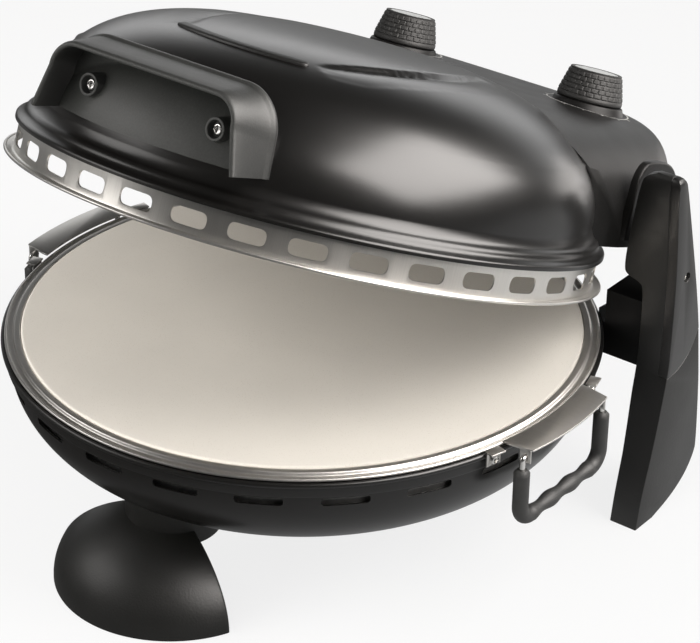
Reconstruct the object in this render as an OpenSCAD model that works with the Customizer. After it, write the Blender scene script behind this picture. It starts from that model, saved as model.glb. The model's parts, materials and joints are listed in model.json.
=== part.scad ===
// Electric pizza maker: a round baking stone in a bowl, under a hinged dome lid.
// Millimetres, +Z up, the front faces -Y, the origin is under the middle on the table.
// Shapes are drawn round the middle of the stone's top face, then set at their height.

/* [Cooking plate] */
// Diameter of the baking stone
stone_d = 310; // [290:1:330]
// Thickness of the baking stone
stone_t = 12; // [8:1:14]
// Height of the stone's top face above the table
stone_height = 111; // [106:1:125]
// Width of the steel rim that shows round the stone
tray_rim_w = 7.8; // [6.5:0.1:10]
// Gap round the stone in its tray
stone_gap = 0.4; // [0.2:0.1:1]
// Sheet thickness of the tray
tray_sheet = 1; // [0.8:0.1:1.4]
// How far the side plates reach out past the tray's rim
side_plate_reach = 18.1; // [15:0.5:22]
// Half the length of a side plate's outer edge
side_plate_half = 33.5; // [28:0.5:38]

/* [Bails] */
// Diameter of the bail wire
wire_d = 3.2; // [2.4:0.1:4]
// Diameter of the rubber grip
grip_d = 8.6; // [7:0.1:10]
// Distance between the two legs of a bail
bail_span = 73.6; // [64:0.2:80]
// Drop from the bail's pivot to the middle of its bar
bail_drop = 38; // [32:0.5:44]

/* [Bowl] */
// Depth of the bowl below its rim band
bowl_depth = 55; // [45:1:62]
// Sheet thickness of the bowl
bowl_sheet = 1.2; // [0.8:0.1:2]
// Length of a vent slot in the bowl
vent_len = 25; // [18:0.5:30]
// Height of a vent slot in the bowl
vent_h = 4.6; // [3:0.1:6]
// Angle from one vent slot to the next
vent_pitch = 15.6; // [14:0.1:18]

/* [Lid] */
// How far the lid stands open from closed, in degrees
lid_open = 21.74; // [0:0.01:40]
// How far behind the lid's middle the hinge axis lies
hinge_y = 166.4; // [164:0.1:172]
// Height of the hinge axis above the lid's lower edge
hinge_z = 29.8; // [27:0.1:33]
// Height of the dome above the lid's lower edge
dome_h = 95.9; // [88:0.1:104]
// Sheet thickness of the dome
dome_sheet = 1.5; // [1:0.1:2.5]
// Height of the slotted steel ring that shows under the dome
ring_h = 17.3; // [15:0.1:22]
// Length of a slot in the steel ring
slot_len = 19.4; // [14:0.2:24]
// Height of a slot in the steel ring
slot_h = 8.6; // [6:0.1:11]
// Number of slots in the steel ring
slot_count = 33; // [26:1:36]

/* [Front handle] */
// Width of the handle's hood at its lower front edge
hood_w = 132; // [110:1:140]
// How far the hood's front edge stands out past the dome's foot
hood_out = 8.4; // [6:0.1:12]
// Wall thickness of the hood
hood_wall = 3; // [2:0.1:4]
// Distance between the two handle screws
handle_screw_span = 83; // [70:1:90]

/* [Control housing] */
// Space between an end of the control housing and the hinge arm beside it
housing_clear = 16; // [15:0.1:19]
// How far the housing reaches behind the lid's middle
housing_reach = 203; // [199:1:208]
// Height of the housing's top above the lid's lower edge
housing_top = 84.5; // [80:0.5:88]
// Wall thickness of the housing
housing_wall = 2.5; // [2:0.1:3.5]
// Distance between the two knobs
knob_span = 132; // [120:1:140]
// Diameter of a knob at its foot
knob_d = 38; // [32:0.5:40]
// Height of a knob
knob_h = 17.4; // [16:0.1:22]

/* [Feet] */
// Radius of the front foot's skirt on the table
foot_r = 66; // [58:0.5:72]
// How far the skirt's axis lies inside the bowl's band
foot_in = 54.8; // [50:0.2:60]
// Half the angle that the skirt spans
foot_half_angle = 67.5; // [55:0.5:75]
// Distance from the middle to a rear leg's outer face
leg_x = 174.5; // [172:0.5:180]
// Thickness of a leg's outer cover
cover_t = 6; // [4:0.5:8]
// Thickness of the rubber pads under the feet
pad_t = 2; // [1.5:0.1:3]

/* [Heaters] */
// Diameter of a heater tube
heater_d = 6.5; // [5:0.1:8]
// How far a heater's outer turn lies inside the stone's edge
heater_in = 43; // [36:1:55]
// Distance between a heater's two turns
heater_pitch = 46; // [38:1:56]

/* [Hidden] */
$fn = 96;

gap = 0.3;              // between pieces that only sit on each other
fit = 0.05;             // radial clearance of a turning pin or shaft
side_names = [-1, 1];   // left, right
stone_r = stone_d / 2;
heater_r = stone_r - heater_in;
heater_r_in = heater_r - heater_pitch;
black = "#262524";
dark = "#1b1b1b";
steel = "#b9b8b4";
bright = "#d8d8d6";

// Tray: a ledge under the stone, a wall round it and a stepped rim with a rolled bead
tray_in_r = stone_r + stone_gap;
tray_lip_z = -0.8;
tray_ledge_w = 16;
tray_step_w = 3.2;
tray_step_h = 1.8;
bead_wire_r = 1.1;
bead_r = tray_in_r + tray_rim_w;
bead_z = -2.5;
tray_bottom = -stone_t - gap - tray_sheet;

// Bowl: a rolled rim, a straight band and a deep curved wall
rim_bulge_r = 1.4;
rim_r = bead_r + 1.5;                   // centre of the rim's roll
rim_z = -4.8;
rim_flange = 4.2;                      // reach of the rim's flat part inside its roll
band_r = rim_r - 0.2;                   // outer face of the band
band_top = -6.4;
band_bottom = -12;
wall_r = band_r - 2;
foot_y = band_r - foot_in;
wall_top = band_bottom - 1;
vent_z = -16.5;
bowl_bottom = wall_top - bowl_depth;
function superellipse(t, a, b) = pow(1 - pow(t, a), 1 / b);
function bowl_outline(inset, steps) = [for (i = [0:steps]) let (t = sin(90 * i / steps))
  [max(wall_r * superellipse(t, 1.9, 5) - inset, 0), wall_top - t * (bowl_depth - inset)]];
function bowl_at(r) = wall_top - bowl_depth * pow(1 - pow(r / wall_r, 5), 1 / 1.9);

// Lid: the dome's flange sits round the slotted ring
dome_r = bead_r - 11.1;
ring_r = bead_r - 3.7;                  // outer face of the slotted ring
ring_flare_r = bead_r + 0.9;
ring_sheet = 1;
flange_r = ring_r + 2.7;
flange_h = 1.8;
dome_foot = ring_h + 12;                // where the dome's curved wall starts
function dome_wall(inset, steps) = [for (i = [0:steps]) let (t = sin(90 * i / steps))
  [max(dome_r * superellipse(t, 2.12, 3.22) - inset, 0),
   dome_foot + t * (dome_h - dome_foot - inset)]];
function dome_outline(inset, steps) = concat(
  [[flange_r - inset, ring_h], [flange_r - inset, ring_h + flange_h - inset / 2],
   [flange_r - 1.7 - inset, ring_h + 3 - inset / 2], [dome_r + 5.6 - inset, ring_h + 3.9 - inset / 2],
   [dome_r + 5 - inset, ring_h + 7.2 - inset / 2], [dome_r + 2.5 - inset, ring_h + 9.2 - inset / 2]],
  dome_wall(inset, steps));

leg_w = 20.5;                           // from a leg's outer face to the hinge arm
arm_out = leg_x - leg_w;                // outer face of a hinge arm, against the leg

// Housing outline in plan, and its rounded top and rear
housing_half = arm_out - housing_clear;
housing_mid = 100;                      // widest place, behind the lid's middle
housing_bottom = ring_h + 4.7;
function housing_plan(inset) = [for (i = [0:48]) let (a = 180 * i / 48, c = cos(a), s = sin(a))
  [(housing_half - inset) * sign(c) * pow(abs(c), 0.5),
   housing_mid + (housing_reach - housing_mid - inset) * pow(s, 0.8)]];
housing_taper = [[1.5, 86], [7, 71], [17, 59], [30, 50]];   // front ends: inset, place behind the middle
function housing_outline(inset) = concat(housing_plan(inset),
  [for (p = housing_taper) [-housing_half + inset + p[0], p[1]]],
  [for (i = [len(housing_taper) - 1:-1:0])
    [housing_half - inset - housing_taper[i][0], housing_taper[i][1]]]);
// Seen from the front, the housing's top falls away towards its ends
function housing_arch(inset) = [for (i = [-24:24]) let (a = i * 3.75, c = abs(sin(a)))
  [(housing_half - inset) * sign(a) * pow(c, 0.3125),
   housing_bottom + (housing_top - housing_bottom - inset) * cos(a)]];
round_rear = 24;                        // rounding of the housing's top towards its rear
base_t = 2.5;                           // thickness of the housing's bottom cover
knob_y = housing_reach - 48;
knob_seat = housing_top + 2.6;          // the knobs stand on low cones
shaft_r = 3;

// Hinge: a barrel on the housing, and a tongue on each arm outside it
barrel_r = 8;
pin_r = 4;
barrel_in = 112;
barrel_block = 30;                      // how far a barrel's foot reaches forward
tongue_in = 129;
tongue_t = 5;
arm_top = -2.5;
arm_bottom = -22;
arm_in = 118;
arm_block_in = 131;                     // a block at the arm's front rises beside the lid
arm_block_top = 18;
arm_block_rear = 150;
arm_front = 104;
arm_rear = hinge_y + 9;

// Rear legs: front and rear edges and inner face, each by height above the stone's top
floor_z = -stone_height;
leg_top = 99;
leg_front_edge = [[floor_z, 80.5], [-90, 84.5], [-66, 91.9], [-41, 97.8], [-18, 102.5], [0, 103.1],
  [41, 103.2], [87, 98.6], [leg_top - 2, 98.9],
  [leg_top, 101]];
leg_rear_edge = [[floor_z, 98], [floor_z + 4.4, 115], [floor_z + 10, 126.5], [floor_z + 16, 134],
  [floor_z + 24, 139.6], [floor_z + 30, 140.8], [-46.5, 138.3], [-24, 135.5], [12, 129.6],
  [92, 107.6], [leg_top, 104.5]];
leg_in = arm_out + gap;
leg_inner_edge = [[floor_z, leg_in + 3.3], [-78, leg_in + 2.7], [-58, leg_in + 1.4], [-38, leg_in + 0.2],
  [-27, leg_in], [25, leg_in], [30, leg_in - 2], [32, leg_in - 11], [36, leg_in - 13], [54, leg_in - 10.9],
  [72, leg_in - 7.5], [90, leg_in - 4], [96, leg_in - 2], [leg_top, leg_in + 5]];
// Cuts off every corner of an open line, once and twice
function eased_once(p) = concat([p[0]], [for (i = [0:len(p) - 2]) each
  [p[i] * 0.75 + p[i + 1] * 0.25, p[i] * 0.25 + p[i + 1] * 0.75]], [p[len(p) - 1]]);
function eased(p) = eased_once(eased_once(p));
seam_c = [104, 8];                      // the cover's lower edge is an arc round this place
seam_r = 30;
cover_screw = [114.2, 36];

// Handle hood: its outline narrows towards the front and the top
hood_low = 36;
hood_reach = dome_r + hood_out;
hood_rear_y = -dome_r + 18.1;
hood_front_top = 73;
hood_rear_top = 78.5;
hood_narrow = 7.5;                      // how much narrower each side is at the front's top
hood_flare = 2.5;                       // and how much wider at the rear
hood_boss_r = 5.6;
hood_recess_r = 4.2;
hood_recess = 4;                        // depth of the round recess that holds a screw's head
screw_z = 52.8;
hood_plate_r = 2.6;                     // thickness of the back plate

// Side plates and their ears
plate_in_r = bead_r + bead_wire_r + gap;
plate_out_r = bead_r + side_plate_reach;
plate_half_in = side_plate_half + 3;
plate_z = -1.4;
plate_t = 1;
ear_y = bail_span / 2;
bail_x = plate_out_r - 7.8;
bail_z = -5.6;                          // pivot of a bail, below the stone's top
ear_t = 1;
ear_in = 2;                             // half the space between the two ears
grip_r = grip_d / 2;
wire_r = wire_d / 2;
grip_bend = 9;                          // radius of the grip's corners
grip_top = bail_z - 6.6;

// Gland for the cord in the housing's rear, the rearmost place of the whole
gland_x = -30;
gland_z = 52;
gland_r = 6;
gland_out = 9;                          // how far the gland stands out of the housing

// The lid's middle stands over the stone's middle when the lid is closed
rear_reach = hinge_y + (housing_reach + gland_out - hinge_y) * cos(lid_open)
  + (gland_z + gland_r - hinge_z) * sin(lid_open);
plate_y = (foot_y + foot_r - rear_reach) / 2;

// Smaller sizes
screw_r = 1.5;
cover_sink = 3;                         // depth of the hole that sinks a cover's screw
cover_hole_r = 2.9;
leg_screw_l = 19;                       // reaches through the leg into its inner wall
ear_w = 6.8;
ear_h = 7.4;
hook_l = 5.2;                           // the wire's hook through its ear
wire_sunk = 12;                         // length of wire inside a grip leg
waves = 3;                              // finger waves in a grip's bar
bar_half = ear_y - grip_bend;
bail_low = bail_z - bail_drop;
bowl_steps = 22;
dome_steps = 26;
reflector_r = tray_in_r + tray_sheet + 1.2;
reflector_lip_r = band_r - bowl_sheet - gap;
reflector_lip_z = band_top - gap;
reflector_floor = -46;
reflector_sheet = 0.8;
reflector_round = 30;
turn_open = 16;                         // half the open angle of a heater's turns, at the rear
clip_turns = [-30, 210, 130];
heater_clip = 10;
lower_heater_z = -30;
upper_heater_z = 44;
tail_l = 24;
bush_h = 5;
foot_h = 44;                            // height of the foot's domed shell
pillar_r = 26;
pillar_h = 40;
skirt_t = 3;
foot_lift = 0.5;                        // the skirt stands clear of the table on its pad
web_z = -76;                            // top of the web inside the pillar
pad_in = foot_r - skirt_t - 5;
foot_screw_r = 2.2;
bolt_yz = [116, -12];
bolt_r = 3;
bolt_out = leg_x - cover_t - 2;         // outer end of a bolt, under the leg's cover
bolt_in = 12;                           // how far a bolt reaches into its arm
leg_round = 4;                          // rounding of a leg's top outer corner
pocket_d = 12;
pocket_low = -2;
pocket_high = 60;
ring_top = ring_h + 1.5;
ring_lip_r = ring_r - 8;
flare_wire_r = 0.9;
slot_z = 8.9;
slot_turn = -85.8;                      // angle of the first slot, beside the front
upper_reflector_r = ring_r - 9.5;
upper_reflector_z = 57.2;
upper_round = upper_reflector_r - heater_r - heater_clip / 2;   // flat above the heater's clips
strip_l = 86;
strip_w = 5;
strip_y = 0.605 * dome_r;
strip_t = 1.6;
hood_round = 15;
hood_boss_y = dome_r - 2.7;
handle_screw_l = 12;
round_low = 18;
cheek_t = 2.6;                          // how far a cheek stands out past the housing
cheek_in = 4;                           // and how far it reaches into it
cheek_edge = [[98, 26], [97, 60], [100, 67], [106, 71], [128, 71], [140, 64], [146, 48], [146, 30],
  [142, 26]];
bushing_r = 4.6;
housing_screw_l = 14;
thermostat_w = 34;
timer_w = 38;
control_size = [30, 20];                // depth and height of a control's body
boss_low = housing_top - 12;            // lower end of the bosses under the knobs
knob_cap_r = 12.6;
shaft_low = boss_low - 17;
shaft_out = 14;                         // how far a shaft stands out of the housing

module on_plate() translate([0, plate_y, stone_height]) children();
module on_lid() on_plate() translate([0, hinge_y, hinge_z]) rotate([-lid_open, 0, 0])
  translate([0, -hinge_y, -hinge_z]) children();

module ring(r_out, r_in, z0, z1) rotate_extrude($fn = 180) translate([r_in, z0])
  square([r_out - r_in, z1 - z0]);
module bead(r, wire, z) rotate_extrude($fn = 180) translate([r, z]) circle(wire, $fn = 24);
module rod_x(x0, x1, r) translate([x0, 0, 0]) rotate([0, 90, 0]) cylinder(r = r, h = x1 - x0, $fn = 64);
module rod_y(y0, y1, r) translate([0, y0, 0]) rotate([-90, 0, 0]) cylinder(r = r, h = y1 - y0, $fn = 48);
// A screw with a round head, along +Z, head at the top
module screw(r, length, head_r, head_h) {
  difference() {
    union() {
      translate([0, 0, -length]) cylinder(r = r, h = length, $fn = 32);
      cylinder(r1 = head_r, r2 = head_r * 0.75, h = head_h, $fn = 32);
    }
    for (a = [0, 90]) rotate([0, 0, a]) translate([-head_r * 0.5, -head_r * 0.11, head_h * 0.45])
      cube([head_r, head_r * 0.22, head_h]);
  }
}
// A slot through a wall of radius r, facing outwards at angle a
module wall_slot(r, a, z, length, height, corner) rotate([0, 0, a]) translate([r - 6, 0, z])
  rotate([90, 0, 90]) linear_extrude(12) rounded_slot(length, height, corner);
module rounded_slot(length, height, corner) {
  square([length - 2 * corner, height], center = true);
  square([length, height - 2 * corner], center = true);
  for (x = [-1, 1], y = [-1, 1]) translate([x * (length / 2 - corner), y * (height / 2 - corner)])
    circle(corner, $fn = 24);
}

// ---------- cooking plate ----------
tray_step_r = tray_in_r + tray_sheet + tray_step_w;
module stone() color("#efe6d4") on_plate() rotate_extrude($fn = 180) polygon([
  [0, -stone_t], [stone_r, -stone_t], [stone_r, -1.2], [stone_r - 1.2, 0], [0, 0]]);
module tray_ring() color(steel) on_plate() {
  rotate_extrude($fn = 180) polygon([
    [tray_in_r - tray_ledge_w, tray_bottom], [tray_in_r - tray_ledge_w, tray_bottom + tray_sheet],
    [tray_in_r, tray_bottom + tray_sheet], [tray_in_r, tray_lip_z], [tray_step_r - 0.8, tray_lip_z],
    [tray_step_r, tray_lip_z - tray_step_h], [bead_r, bead_z + bead_wire_r * 0.5],
    [bead_r, bead_z - bead_wire_r * 0.5], [tray_step_r - 0.7, tray_lip_z - tray_step_h - tray_sheet],
    [tray_step_r - 1.6, tray_lip_z - tray_sheet], [tray_in_r + tray_sheet, tray_lip_z - tray_sheet],
    [tray_in_r + tray_sheet, tray_bottom]]);
  bead(bead_r, bead_wire_r, bead_z);
}
module side_plate(side) color(steel) on_plate() difference() {
  union() {
    intersection() {
      ring(plate_out_r, plate_in_r, plate_z, plate_z + plate_t);
      translate([0, 0, plate_z - 1]) linear_extrude(plate_t + 2) polygon([
        [side * plate_in_r * 0.8, -plate_half_in], [side * plate_in_r, -plate_half_in],
        [side * plate_out_r, -side_plate_half], [side * plate_out_r, side_plate_half],
        [side * plate_in_r, plate_half_in], [side * plate_in_r * 0.8, plate_half_in]]);
    }
    for (end = side_names)
      translate([side * bail_x - ear_w / 2, end * (ear_y - ear_in - ear_t / 2) - ear_t / 2, plate_z - ear_h])
        cube([ear_w, ear_t, ear_h + plate_t / 2]);
  }
  for (end = side_names) translate([side * bail_x, end * ear_y, bail_z]) rod_y(-6, 6, wire_r + 2 * fit);
}
module side_plate_left() side_plate(-1);
module side_plate_right() side_plate(1);
clip_angles = [-15.5, 15.5, 164.5, 195.5];
clip_r = rim_r + rim_bulge_r + gap;     // inner face of a clip, outside the rim's roll
clip_w = 9;
clip_h = 9;
clip_reach = 6;                         // how far a clip reaches under the side plate
clip_z = plate_z - 5.4;                 // middle of the clip's screw
module tray_clips() color(steel) on_plate() for (a = clip_angles) rotate([0, 0, a])
  translate([clip_r, 0, 0]) difference() {
    union() {
      translate([-1, -clip_w / 2, plate_z - tray_sheet]) cube([clip_reach, clip_w, tray_sheet]);
      translate([0, -clip_w / 2, plate_z - clip_h]) cube([tray_sheet, clip_w, clip_h]);
    }
    translate([0, 0, clip_z]) rod_x(-1, 3, screw_r);
  }
module tray_screws() color(bright) on_plate() for (a = clip_angles) rotate([0, 0, a])
  translate([clip_r + tray_sheet, 0, clip_z]) rotate([0, 90, 0]) screw(screw_r, tray_sheet, 2.9, 1.8);

// ---------- bails ----------
// A wire rises out of each grip leg and hooks inwards through its ear
module bail_wire(side) color(bright) on_plate() translate([side * bail_x, 0, 0])
  for (end = side_names) translate([0, end * ear_y, 0]) {
    translate([0, 0, grip_top - wire_sunk]) cylinder(r = wire_r, h = bail_z - grip_top + wire_sunk, $fn = 32);
    translate([0, 0, bail_z]) sphere(r = wire_r, $fn = 32);
    translate([0, 0, bail_z]) rod_y(min(0, -end * hook_l), max(0, -end * hook_l), wire_r);
  }
module bail_wire_left() bail_wire(-1);
module bail_wire_right() bail_wire(1);
// Rubber grip: two straight legs, round corners and a bar with finger waves
function bar_r(y) = grip_r * (0.93 + 0.13 * cos(360 * waves * (y + bar_half) / (2 * bar_half)));
module bail_grip(side) color(dark) on_plate() translate([side * bail_x, 0, 0]) difference() {
  union() {
    for (end = side_names) {
      translate([0, end * ear_y, bail_low + grip_bend])
        cylinder(r = grip_r, h = grip_top - bail_low - grip_bend, $fn = 40);
      mirror([0, end < 0 ? 1 : 0, 0]) translate([0, bar_half, bail_low + grip_bend])
        rotate([0, 90, 0]) rotate_extrude(angle = 90, $fn = 96) translate([grip_bend, 0])
          circle(grip_r, $fn = 40);
    }
    translate([0, 0, bail_low]) rotate([-90, 0, 0]) rotate_extrude($fn = 40) polygon(concat(
      [[0, -bar_half]], [for (i = [0:36]) let (y = -bar_half + 2 * bar_half * i / 36) [bar_r(y), y]],
      [[0, bar_half]]));
  }
  for (end = side_names) translate([0, end * ear_y, grip_top - wire_sunk])
    cylinder(r = wire_r, h = wire_sunk + 1, $fn = 32);
}
module bail_grip_left() bail_grip(-1);
module bail_grip_right() bail_grip(1);

// ---------- bowl ----------
vent_angles = concat([for (k = [-5:5]) -90 + k * vent_pitch], [for (k = [-2:2]) 90 + k * vent_pitch]);
module bowl() color(black) on_plate() difference() {
  rotate_extrude($fn = 180) polygon(concat([[band_r, band_top], [band_r, band_bottom]],
    bowl_outline(0, bowl_steps), [for (i = [bowl_steps:-1:0]) bowl_outline(bowl_sheet, bowl_steps)[i]],
    [[band_r - bowl_sheet, band_bottom], [band_r - bowl_sheet, band_top]]));
  for (a = vent_angles) wall_slot(wall_r, a, vent_z, vent_len, vent_h, vent_h * 0.45);
  translate([0, -foot_y, bowl_bottom - 1]) cylinder(r = foot_screw_r, h = 30, $fn = 32);
}
// The bowl's outer form as one solid, grown by a clearance, to cut what sits against it
module bowl_form(grow) rotate_extrude($fn = 180) polygon(concat([[0, 5], [rim_r + rim_bulge_r + grow, 5],
  [rim_r + rim_bulge_r + grow, band_top - grow], [band_r + grow, band_top - grow],
  [band_r + grow, band_bottom - grow]], [for (p = bowl_outline(-grow, bowl_steps)) [p[0], p[1]]],
  [[0, bowl_bottom - grow]]));
// The rim's roll and the flange inside it are one outline, turned once
function roll_point(a) = [rim_r + rim_bulge_r * cos(a), rim_z + rim_bulge_r * sin(a)];
module bowl_rim() color(dark) on_plate() rotate_extrude($fn = 180) polygon(concat(
  [[rim_r - rim_flange, rim_z + 0.4], [rim_r - rim_flange, band_top], [rim_r + 0.3, band_top]],
  [for (i = [0:12]) roll_point(-78 + 20 * i)]));
function reflector_arc(a, grow) = [reflector_r - reflector_round + (reflector_round + grow) * cos(a),
  reflector_floor + reflector_round - (reflector_round + grow) * sin(a)];
module lower_reflector() color(bright) on_plate() difference() {
  rotate_extrude($fn = 120) polygon(concat(
    [[reflector_r, reflector_lip_z], [reflector_lip_r, reflector_lip_z],
     [reflector_lip_r, reflector_lip_z - reflector_sheet],
     [reflector_r + reflector_sheet, reflector_lip_z - reflector_sheet]],
    [for (i = [0:12]) reflector_arc(i * 7.5, reflector_sheet)],
    [[0, reflector_floor - reflector_sheet], [0, reflector_floor]],
    [for (i = [12:-1:0]) reflector_arc(i * 7.5, 0)]));
  at_tails() translate([0, 0, reflector_floor - 3]) cylinder(r = heater_d / 2 + 1, h = 6, $fn = 32);
}

// ---------- heaters ----------
// A double turn of tube: joined by a bend on one side of its rear gap, two tails on the other
module at_tails() for (r = [heater_r, heater_r_in]) rotate([0, 0, 90 - turn_open])
  translate([r, 0, 0]) children();
module heater_tube(tail) {
  for (r = [heater_r, heater_r_in]) rotate([0, 0, 90 + turn_open])
    rotate_extrude(angle = 360 - 2 * turn_open, $fn = 120) translate([r, 0]) circle(heater_d / 2, $fn = 24);
  rotate([0, 0, 90 + turn_open]) translate([(heater_r + heater_r_in) / 2, 0, 0]) rotate([0, 0, 180])
    rotate_extrude(angle = 180, $fn = 60) translate([(heater_r - heater_r_in) / 2, 0])
      circle(heater_d / 2, $fn = 24);
  for (r = [heater_r, heater_r_in]) rotate([0, 0, 90 + turn_open]) translate([r, 0, 0])
    sphere(r = heater_d / 2, $fn = 32);
  at_tails() {
    sphere(r = heater_d / 2, $fn = 32);
    translate([0, 0, min(0, tail)]) cylinder(r = heater_d / 2, h = abs(tail), $fn = 32);
  }
}
module heater_clips(z, seat) for (a = clip_turns, r = [heater_r, heater_r_in]) rotate([0, 0, a])
  translate([r, 0, 0]) difference() {
    translate([-heater_clip / 2, -1.5, min(seat, z - heater_clip / 2)])
      cube([heater_clip, 3, abs(seat - z) + heater_clip / 2]);
    translate([-r, 0, z]) rotate_extrude($fn = 120) translate([r, 0]) circle(heater_d / 2 + fit, $fn = 24);
  }
module lower_heater() color("#6b6661") on_plate() translate([0, 0, lower_heater_z]) heater_tube(-tail_l);
module lower_heater_clips() color(steel) on_plate() heater_clips(lower_heater_z, reflector_floor);
module terminal_bushes(z, h) at_tails() translate([0, 0, z]) difference() {
  cylinder(r = heater_d / 2 + 3, h = h, $fn = 40);
  translate([0, 0, -1]) cylinder(r = heater_d / 2 + fit, h = h + 2, $fn = 32);
}
module lower_terminals() color("#e8e2d2") on_plate()
  terminal_bushes(reflector_floor - reflector_sheet - bush_h, bush_h);

// ---------- front foot ----------
// A domed shell round part of a circle, and a round pillar inside it that carries the bowl
function foot_shell(inset) = [for (i = [0:16]) let (a = i * 90 / 16)
  [(foot_r - inset) * cos(a), floor_z + foot_lift + (foot_h - inset) * sin(a)]];
module sector(half) rotate([0, 0, -90 - half]) rotate_extrude(angle = 2 * half, $fn = 120) children();
module front_foot() color(black) on_plate() difference() {
  translate([0, -foot_y, 0]) {
    sector(foot_half_angle) polygon(concat(foot_shell(0), [for (i = [16:-1:0]) foot_shell(skirt_t)[i]]));
    sector(foot_half_angle) translate([pad_in, floor_z + pad_t])
      square([foot_r - skirt_t - pad_in + 1, skirt_t]);
    difference() {
      translate([0, 0, web_z - skirt_t]) cylinder(r = pillar_r, h = pillar_h);
      translate([0, 0, web_z]) cylinder(r = pillar_r - skirt_t, h = pillar_h);
    }
    translate([0, 0, web_z - 1]) cylinder(r = 7, h = pillar_h, $fn = 40);
  }
  bowl_form(gap);
  translate([0, -foot_y, web_z - skirt_t - 1]) cylinder(r = foot_screw_r, h = 40, $fn = 32);
}
module front_foot_pad() color("#111111") on_plate() translate([0, -foot_y, 0])
  sector(foot_half_angle - 2) translate([pad_in, floor_z]) square([foot_r - skirt_t - pad_in - gap, pad_t]);
module front_foot_screw() color(bright) on_plate() translate([0, -foot_y, web_z - skirt_t])
  mirror([0, 0, 1]) screw(foot_screw_r, bowl_at(foot_y) - web_z + skirt_t + 3, 4.2, 2.6);

// ---------- rear legs ----------
module side_outline(x0, x1, trim) translate([x0, 0, 0]) rotate([90, 0, 90]) linear_extrude(x1 - x0)
  let (rear = eased(leg_rear_edge))
    polygon(concat([for (p = eased(leg_front_edge)) [p[1] + trim, p[0]]],
      [for (i = [len(rear) - 1:-1:0]) [rear[i][1] - trim, rear[i][0]]]));
function leg_corner(a) = [leg_x - leg_round * (1 - cos(a)), leg_top - leg_round * (1 - sin(a))];
module leg_form() intersection() {
  side_outline(arm_in, leg_x, 0);
  translate([0, hinge_y, 0]) rotate([90, 0, 0]) linear_extrude(hinge_y) polygon(concat(
    [for (p = eased(leg_inner_edge)) [p[1], p[0]]],
    [for (i = [0:3]) leg_corner(90 - i * 30)], [[leg_x, floor_z]]));
}
// Where the cover lies: above an arc that sweeps from the leg's front edge up to its rear
module cover_zone(x0, x1, grow) {
  translate([0, seam_c[0], seam_c[1]]) rod_x(x0, x1, seam_r + grow);
  translate([x0, seam_c[0] - 40, seam_c[1]]) cube([x1 - x0, 80, 120]);
}
module sided(side) on_plate() mirror([side < 0 ? 1 : 0, 0, 0]) children();
module leg(side) color(black) sided(side) difference() {
  leg_form();
  cover_zone(leg_x - cover_t, leg_x + 1, gap);
  intersection() {
    side_outline(leg_x - cover_t - pocket_d, leg_x, skirt_t);
    translate([arm_in, 0, pocket_low]) cube([leg_x, hinge_y, pocket_high - pocket_low]);
  }
  translate([0, bolt_yz[0], bolt_yz[1]]) rod_x(arm_in, bolt_out, bolt_r);
  translate([0, cover_screw[0], cover_screw[1]]) rod_x(arm_out - 5, leg_x, screw_r);
  pad_form(pad_t);
}
module leg_left() leg(-1);
module leg_right() leg(1);
module leg_cover(side) color("#2f2e2d") sided(side) difference() {
  intersection() {
    leg_form();
    cover_zone(leg_x - cover_t, leg_x + 1, 0);
    translate([leg_x - cover_t, 0, floor_z]) cube([cover_t + 1, hinge_y, stone_height + leg_top]);
  }
  translate([0, cover_screw[0], cover_screw[1]]) {
    rod_x(leg_x - cover_t - 1, leg_x + 1, screw_r);
    rod_x(leg_x - cover_sink, leg_x + 1, cover_hole_r);
  }
}
module leg_cover_left() leg_cover(-1);
module leg_cover_right() leg_cover(1);
module leg_screws() color(bright) for (side = side_names) sided(side)
  translate([leg_x - cover_sink, cover_screw[0], cover_screw[1]]) rotate([0, 90, 0])
    screw(screw_r, leg_screw_l, cover_hole_r - gap, 1.6);
module pad_form(h) translate([leg_inner_edge[0][1] + 2, leg_front_edge[0][1] + 2, floor_z - 0.01])
  cube([leg_x - leg_inner_edge[0][1] - 4, leg_rear_edge[0][1] - leg_front_edge[0][1] - 4, h + 0.01]);
module leg_pads() color("#111111") for (side = side_names) sided(side) intersection() {
  pad_form(pad_t);
  translate([0, 0, floor_z]) cube([leg_x, hinge_y, pad_t]);
}

// ---------- hinge ----------
// An arm from the bowl's band to the leg, with a tongue that holds the hinge pin
module hinge_arm(side) color(black) sided(side) difference() {
  union() {
    translate([0, 0, arm_bottom]) linear_extrude(arm_top - arm_bottom) polygon([
      [arm_in, arm_front], [arm_out, arm_front], [arm_out, arm_front + 31],
      [tongue_in + tongue_t + 3, arm_rear], [tongue_in - 3, arm_rear], [arm_in + 5, arm_front + 44]]);
    translate([arm_block_in, arm_front, arm_top - 1])
      cube([arm_out - arm_block_in, arm_block_rear - arm_front, arm_block_top - arm_top + 1]);
    translate([tongue_in, hinge_y - barrel_r, arm_top - 1])
      cube([tongue_t, 2 * barrel_r, hinge_z - arm_top + 1]);
    translate([0, hinge_y, hinge_z]) rod_x(tongue_in, tongue_in + tongue_t, barrel_r);
  }
  bowl_form(gap);
  translate([0, hinge_y, hinge_z]) rod_x(tongue_in - 1, tongue_in + tongue_t + 1, pin_r);
  translate([0, bolt_yz[0], bolt_yz[1]]) rod_x(arm_in, arm_out + 1, bolt_r);
}
module hinge_arm_left() hinge_arm(-1);
module hinge_arm_right() hinge_arm(1);
module hinge_pins() color(bright) for (side = side_names) sided(side) translate([0, hinge_y, hinge_z]) {
  rod_x(barrel_in, tongue_in + tongue_t, pin_r);
  rod_x(tongue_in + tongue_t, tongue_in + tongue_t + 1.6, pin_r + 2);
}
module arm_bolts() color(bright) for (side = side_names) sided(side) translate([0, bolt_yz[0], bolt_yz[1]])
  rod_x(arm_out - bolt_in, bolt_out, bolt_r);

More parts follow.
